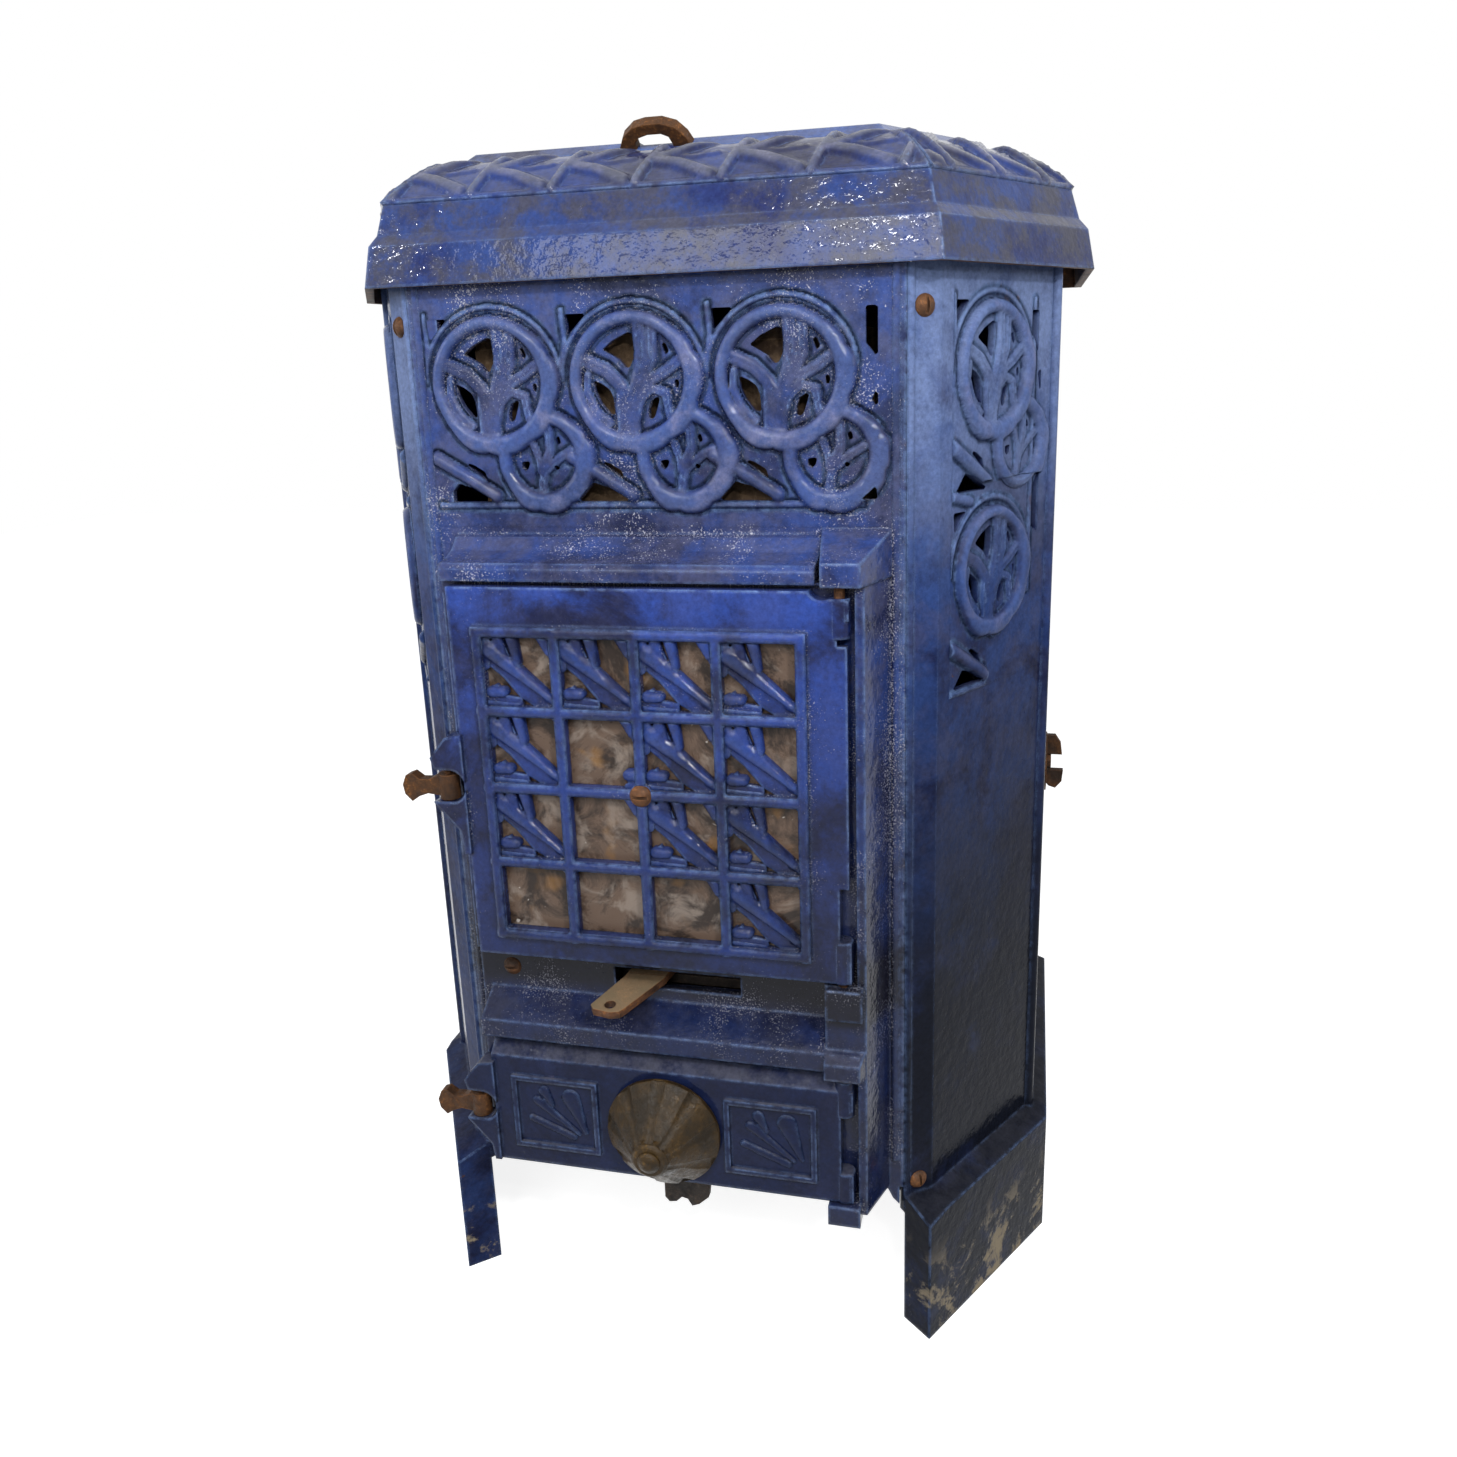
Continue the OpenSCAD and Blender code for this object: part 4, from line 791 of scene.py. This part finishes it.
def cast_window_grid():
    """The rounded face of the four by four bars and of the rim round them."""
    half = 2 * PITCH + BAR

    def to_bars(x, z):
        across = np.abs((x + PITCH / 2) % PITCH - PITCH / 2)
        up = np.abs((z + PITCH / 2) % PITCH - PITCH / 2)
        return np.minimum(across, up)

    def metal(x, z):
        return np.maximum(to_bars(x, z) - BAR, GRID_SCREW - np.hypot(x, z))

    def relief(x, z):
        rim = 2 * PITCH - np.maximum(np.abs(x), np.abs(z))
        high = ridge(to_bars(x, z), BAR + 0.25, 1.5, 0.7)
        return np.maximum(high, ridge(rim, BAR + 0.25, 2.1, 0.6))

    def lay(x, z, high):
        return np.stack([GRID_X + x, GRID_FACE - 0.1 - high, GRID_Z + z], -1)
    piece = cast_sheet("window_grid_face", ((-half, half), (-half, half)), 1.0, metal, relief,
                       lay, 0.0, ENAMEL_DOOR)
    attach(piece, "fire_door")


# leaves in a pane of the grid, from its lower left corner. Each is a line, its half widths
# at both ends and its height
SPRAY = [((4, 33), (38.5, 6), 5.6, 2.0, 3.2), ((17, 43), (20.5, 26), 3.6, 2.0, 2.6),
         ((8, 43), (12, 30), 3.2, 2.6, 1.8), ((0, 44), (0, 24), 4.4, 3.0, 1.2),
         ((37, 6), (42, 4), 2.8, 3.2, 2.0), ((3, 8), (10, 8), 3.4, 3.0, 2.6),
         ((0, 0.5), (20, 0.5), 2.4, 1.2, 0.9)]
TOP_LEAF = [((37, 43), (40, 33), 5.0, 2.2, 2.6), ((41, 34), (42, 30), 2.6, 2.0, 1.6)]
STUB_LEAF = [((40, 8), (36.5, 8), 3.6, 3.4, 2.6), ((42, 3), (36, 1), 2.4, 2.2, 1.2)]


def cast_leaf_tile(name, lines, size, face, back, material):
    """A spray of rounded leaves whose lower left corner is at the origin."""
    def to_leaf(x, z, line):
        (ax, az), (bx, bz), wide, narrow, height = line
        run, rise = bx - ax, bz - az
        along = np.clip(((x - ax) * run + (z - az) * rise) / (run ** 2 + rise ** 2), 0, 1)
        half = wide + (narrow - wide) * along
        return np.hypot(x - ax - along * run, z - az - along * rise), half, height

    def metal(x, z):
        away = np.full(x.shape, 1e9)
        for line in lines:
            gap, half, _ = to_leaf(x, z, line)
            away = np.minimum(away, gap - half)
        return away

    def relief(x, z):
        high = np.full(x.shape, 0.2)
        for line in lines:
            gap, half, height = to_leaf(x, z, line)
            high = np.maximum(high, ridge(gap, half + 0.2, height, 0.55))
        return high

    def lay(x, z, high):
        return np.stack([x, face - high, z], -1)
    return cast_sheet(name, ((0, size[0]), (0, size[1])), 0.75, metal, relief, lay, back,
                      material)


def make_repeat_tree():
    """Stands a copy of the tile on every point, then joins them into one mesh."""
    tree = bpy.data.node_groups.new("repeat tile", "GeometryNodeTree")
    new = tree.interface.new_socket
    new("Points", in_out="INPUT", socket_type="NodeSocketGeometry")
    new("Tile", in_out="INPUT", socket_type="NodeSocketObject")
    new("Tile Size", in_out="INPUT", socket_type="NodeSocketFloat").default_value = 1.0
    new("Finish", in_out="INPUT", socket_type="NodeSocketMaterial")
    new("Geometry", in_out="OUTPUT", socket_type="NodeSocketGeometry")
    s = Shade(tree)
    given, result = s.add("NodeGroupInput"), s.add("NodeGroupOutput")
    tile = s.add("GeometryNodeObjectInfo")
    stand = s.add("GeometryNodeInstanceOnPoints")
    dots = s.add("GeometryNodeMeshToPoints")
    size = s.add("ShaderNodeCombineXYZ")
    finish = s.add("GeometryNodeSetMaterial")
    realize = s.add("GeometryNodeRealizeInstances")
    s.join(given.outputs["Points"], dots.inputs["Mesh"])
    s.join(given.outputs["Tile"], tile.inputs["Object"])
    for axis in "XYZ":
        s.join(given.outputs["Tile Size"], size.inputs[axis])
    s.join(dots.outputs["Points"], stand.inputs["Points"])
    s.join(tile.outputs["Geometry"], stand.inputs["Instance"])
    s.join(size.outputs[0], stand.inputs["Scale"])
    s.join(stand.outputs["Instances"], realize.inputs["Geometry"])
    s.join(realize.outputs["Geometry"], finish.inputs["Geometry"])
    s.join(given.outputs["Finish"], finish.inputs["Material"])
    s.join(finish.outputs["Geometry"], result.inputs["Geometry"])
    return tree


REPEAT = make_repeat_tree()


def repeat_tile(name, tile, places, material):
    """The tile's copies at the places, as one plain mesh; the tile itself goes."""
    mesh = bpy.data.meshes.new(name)
    mesh.from_pydata([tuple(place) for place in places], [], [])
    holder = link_piece(name + "_points", mesh)
    modifier = holder.modifiers.new("repeat", "NODES")
    modifier.node_group = REPEAT
    sockets = {item.name: item.identifier for item in REPEAT.interface.items_tree
               if item.in_out == "INPUT"}
    modifier[sockets["Tile"]] = tile
    modifier[sockets["Finish"]] = material
    graph = bpy.context.evaluated_depsgraph_get()
    made = bpy.data.meshes.new_from_object(holder.evaluated_get(graph))
    made.set_sharp_from_angle(angle=SHARP)
    piece = link_piece(name, made)
    bpy.data.objects.remove(holder)
    bpy.data.objects.remove(tile)
    return piece


# panes by column and row from the lower left; some sprays have burnt or broken away
FULL_SPRAYS = [(0, 3), (1, 3), (2, 3), (3, 3), (0, 2), (2, 2), (3, 2), (0, 1), (2, 1), (3, 1),
               (3, 0)]
TOP_LEAVES = [(0, 3), (1, 3), (2, 3), (2, 2), (1, 2), (1, 1), (2, 1), (2, 0)]
STUB_LEAVES = [(1, 2)]


def cast_leaf_sprays():
    """The leaves of the window grid, each kind repeated in its own panes."""
    pane = PITCH - 2 * BAR
    low_x, low_z = GRID_X - 2 * PITCH, GRID_Z - 2 * PITCH
    for name, lines, panes in (("leaf_sprays", SPRAY, FULL_SPRAYS),
                               ("top_leaves", TOP_LEAF, TOP_LEAVES),
                               ("leaf_stubs", STUB_LEAF, STUB_LEAVES)):
        tile = cast_leaf_tile(name + "_tile", lines, (pane, pane), LEAF_FACE, -LEAF_DEPTH,
                              ENAMEL_DOOR)
        corners = [(MM * (low_x + column * PITCH + BAR), 0.0,
                    MM * (low_z + row * PITCH + BAR)) for column, row in panes]
        piece = repeat_tile(name, tile, corners, ENAMEL_DOOR)
        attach(piece, "fire_door")


# the two panels of the ash door: their leaves, size and lower left corners
PANEL_LEAVES = [((13, 31), (40.5, 9.5), 3.4, 1.0, 2.0), ((8.6, 17.7), (36, 6.8), 2.6, 2.8, 1.6),
                ((36, 35), (45, 11), 6.5, 1.5, 1.8), ((18, 38), (23.5, 28.5), 4.0, 1.2, 1.6)]
PANEL_SIZE = (51, 45)
PANEL_CORNERS = [(-101.5, 125.5), (39.0, 125.5)]


def cast_panel_leaves():
    """The same spray of leaves in both panels of the ash door."""
    tile = cast_leaf_tile("panel_leaves_tile", PANEL_LEAVES, PANEL_SIZE, ASH_FACE - 0.1, -0.3,
                          ENAMEL_ASH)
    corners = [(MM * x, 0.0, MM * z) for x, z in PANEL_CORNERS]
    piece = repeat_tile("panel_leaves", tile, corners, ENAMEL_ASH)
    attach(piece, "ash_door")


# the roof of the cornice: its lower and upper edge in from the eave, and their heights
EAVE_Z = 657.0
ROOF_LOW, ROOF_HIGH = (14.8, EAVE_Z + 45), (61.8, EAVE_Z + 70.5)
ROOF_RUN = 47.0         # how far in the relief reaches from the lower edge
ROOF_CROWN = 1.7        # power of the roof's curve: 1 would be flat
ROOF_PROUD = 0.55       # how far the relief stands off the roof
ROOF_CELL = 1.15
ROOF_TILE = 48.0        # length of one rib and its leaves along the roof
# how much shorter a side gets at a mitre, for each millimetre in
FRONT_MITRE, SIDE_MITRE, BACK_MITRE = 0.577, 0.268, 1.0
# a leaning rib with two leaves, in one length of the roof: line, half width, height
ROOF_LEAVES = [([(6, 3), (16, 44)], 2.8, 3.9), ([(11, 20), (24, 27), (40, 42)], 4.2, 3.2),
               ([(11, 20), (27, 15), (46, 5)], 4.4, 3.2),
               ([(24, 24), (34, 22), (47, 24)], 2.4, 1.2)]


def cast_roof_side(name, run_from, run_to, out, far, mitre_from, mitre_to, hand=1, shift=0.0):
    """One side of the roof between two mitres. out is the way it faces, and its eave lies
    far along it."""
    run = np.array([-out[1], out[0]])

    def metal(s, t):
        return np.maximum(run_from + mitre_from * t - s, s - run_to + mitre_to * t)

    def relief(s, t):
        along = (s - shift) % ROOF_TILE
        high = np.zeros(s.shape)
        for points, half, height in ROOF_LEAVES:
            for step in (0, ROOF_TILE, -ROOF_TILE):
                line = to_line(along + step, t, points)
                high = np.maximum(high, ridge(line, half, height) - ridge(line, 0.9, 0.5))
        fade = np.clip((ROOF_RUN - 1 - t) / 12, 0.12, 1)
        high *= fade
        mitres = np.minimum(s - run_from - mitre_from * t, run_to - mitre_to * t - s)
        high = np.maximum(high * np.clip(mitres / 3, 0, 1), ridge(np.abs(t - 1.5), 1.8, 1.6))
        return np.maximum(high, ridge(mitres, 3.0, 1.8) * fade)

    def lay(s, t, high):
        part = np.clip(t / ROOF_RUN, 0, 1)
        inward = ROOF_LOW[0] + (ROOF_HIGH[0] - ROOF_LOW[0]) * part
        climb = ROOF_HIGH[1] - ROOF_LOW[1]
        rise = climb * (1 - (1 - part) ** ROOF_CROWN)
        slope = ROOF_CROWN * climb / ROOF_RUN * (1 - part) ** (ROOF_CROWN - 1)
        lean = 1 / np.sqrt(1 + slope ** 2)
        level = (high + ROOF_PROUD) * slope * lean
        upright = (high + ROOF_PROUD) * lean
        x = out[0] * (far - inward + level) + run[0] * s
        y = out[1] * (far - inward + level) + run[1] * s
        return np.stack([hand * x, y, ROOF_LOW[1] + rise + upright], -1)
    piece = cast_sheet(name, ((run_from, run_to), (0, ROOF_RUN)), ROOF_CELL, metal, relief,
                       lay, -1.2, ENAMEL_ROOF, flip=hand < 0)
    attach(piece, "casing")


def cast_roof():
    """The six sides of the roof; each gets shorter towards the top at its mitres."""
    cast_roof_side("roof_front", -153.5, 153.5, (0, -1), 9.6, FRONT_MITRE, FRONT_MITRE,
                   shift=-10.0)
    cast_roof_side("roof_back", -225.7, 225.7, (0, 1), 352.0, BACK_MITRE, BACK_MITRE)
    for side, hand in (("right", 1), ("left", -1)):
        cast_roof_side(f"roof_{side}_splay", 81.25, 225.64, PANEL_OUT, 145.13,
                       FRONT_MITRE, SIDE_MITRE, hand)
        cast_roof_side(f"roof_{side}_return", 130.25, 337.2, (1, 0), 240.5,
                       SIDE_MITRE, BACK_MITRE, hand)


finish_castings()
cast_front_frieze()
cast_side_friezes()
cast_window_grid()
cast_leaf_sprays()
cast_panel_leaves()
cast_roof()


# ---------------------------------------------------------------- camera, light, floor
def stand_camera():
    """In front and to the right of the middle, looking slightly down at the stove."""
    yaw, pitch, roll = math.radians(13.9), math.radians(15.2), math.radians(1.9)
    ahead = Vector((-math.sin(yaw) * math.cos(pitch), math.cos(yaw) * math.cos(pitch),
                    -math.sin(pitch)))
    level = Vector((math.cos(yaw), math.sin(yaw), 0.0))
    below = ahead.cross(level)
    right = level * math.cos(roll) + below * math.sin(roll)
    down = below * math.cos(roll) - level * math.sin(roll)
    data = bpy.data.cameras.new("viewpoint")
    data.sensor_width = 36.0
    data.lens = 29.305
    data.shift_x, data.shift_y = -0.0101, -0.0321
    data.clip_start = 0.02
    camera = bpy.data.objects.new("viewpoint", data)
    turn = Matrix((right, -down, -ahead)).transposed()
    camera.matrix_world = Matrix.Translation(spot(208.5, -646.7, 611.7)) @ turn.to_4x4()
    bpy.context.scene.collection.objects.link(camera)
    bpy.context.scene.camera = camera


# lamps: place, what it points at, width and height, power in watts
LAMPS = {
    "window_light": ((0.8, -1.15, 1.3), (0.0, 0.0, 0.55), (0.14, 0.1), 13.0),
    "front_light": ((-0.2, -1.5, 1.15), (0.0, 0.0, 0.6), (0.9, 0.5), 11.5),
    "roof_light": ((0.1, -0.6, 1.9), (0.0, 0.0, 0.6), (0.9, 0.6), 2.5),
    "right_light": ((1.5, 0.0, 1.0), (0.0, 0.05, 0.58), (0.4, 0.4), 6.0),
    "left_light": ((-1.5, -0.5, 1.1), (0.0, 0.0, 0.45), (0.5, 0.6), 8.0),
    "high_glint": ((0.55, -0.95, 1.45), (0.0, 0.0, 0.55), (0.04, 0.04), 3.5),
    "cornice_glint": ((0.0, -1.05, 1.28), (0.1, 0.0, 0.66), (0.16, 0.08), 4.0),
    "left_glint": ((-0.7, -0.9, 1.2), (0.0, 0.0, 0.5), (0.04, 0.04), 2.5),
    "flash_glint": ((0.3, -0.85, 0.8), (0.0, 0.0, 0.6), (0.03, 0.03), 1.2),
}


def softbox(name, place, aim, size, power):
    """A flat lamp at a place, turned to what it points at."""
    data = bpy.data.lights.new(name, "AREA")
    data.shape = "RECTANGLE"
    data.size, data.size_y = size
    data.energy = power
    lamp = bpy.data.objects.new(name, data)
    lamp.location = Vector(place)
    lamp.rotation_euler = (Vector(aim) - Vector(place)).to_track_quat("-Z", "Y").to_euler()
    bpy.context.scene.collection.objects.link(lamp)


def backdrop_ray(s):
    """Reads 1 on the rays that see the white background itself, and 0 on light."""
    path = s.add("ShaderNodeLightPath")
    seen = s.math("MAXIMUM", path.outputs["Is Camera Ray"], path.outputs["Is Transmission Ray"])
    return s.math("MAXIMUM", seen, path.outputs["Is Glossy Ray"])


def light_room():
    """A white background, a weak bluish light from all round, and the lamps."""
    world = bpy.data.worlds.new("pale_room")
    bpy.context.scene.world = world
    world.use_nodes = True
    world.node_tree.nodes.clear()
    s = Shade(world.node_tree)
    soft = s.add("ShaderNodeBackground")
    soft.inputs["Color"].default_value = (0.86, 0.93, 1.0, 1.0)
    soft.inputs["Strength"].default_value = 0.25
    white = s.add("ShaderNodeBackground")
    white.inputs["Color"].default_value = (1.0, 1.0, 1.0, 1.0)
    white.inputs["Strength"].default_value = 1.0
    mix = s.add("ShaderNodeMixShader")
    out = s.add("ShaderNodeOutputWorld")
    s.join(backdrop_ray(s), mix.inputs[0])
    s.join(soft.outputs[0], mix.inputs[1])
    s.join(white.outputs[0], mix.inputs[2])
    s.join(mix.outputs[0], out.inputs["Surface"])
    for name, lamp in LAMPS.items():
        softbox(name, *lamp)


def lay_floor():
    """A pale floor that is white to look at and still takes the stove's shadow."""
    half, glow = 4.0, 0.86
    mesh = bpy.data.meshes.new("pale_floor")
    mesh.from_pydata([(-half, -half, 0), (half, -half, 0), (half, half, 0), (-half, half, 0)],
                     [], [(0, 1, 2, 3)])
    floor = link_piece("pale_floor", mesh)
    material, s, body, place = new_material("pale_floor")
    body.inputs["Base Color"].default_value = (0.5, 0.5, 0.5, 1.0)
    body.inputs["Roughness"].default_value = 0.95
    body.inputs["Emission Color"].default_value = (1.0, 1.0, 1.0, 1.0)
    s.join(s.math("MULTIPLY", backdrop_ray(s), glow), body.inputs["Emission Strength"])
    mesh.materials.append(material)


stand_camera()
light_room()
lay_floor()
bpy.context.scene.view_settings.view_transform = "Standard"
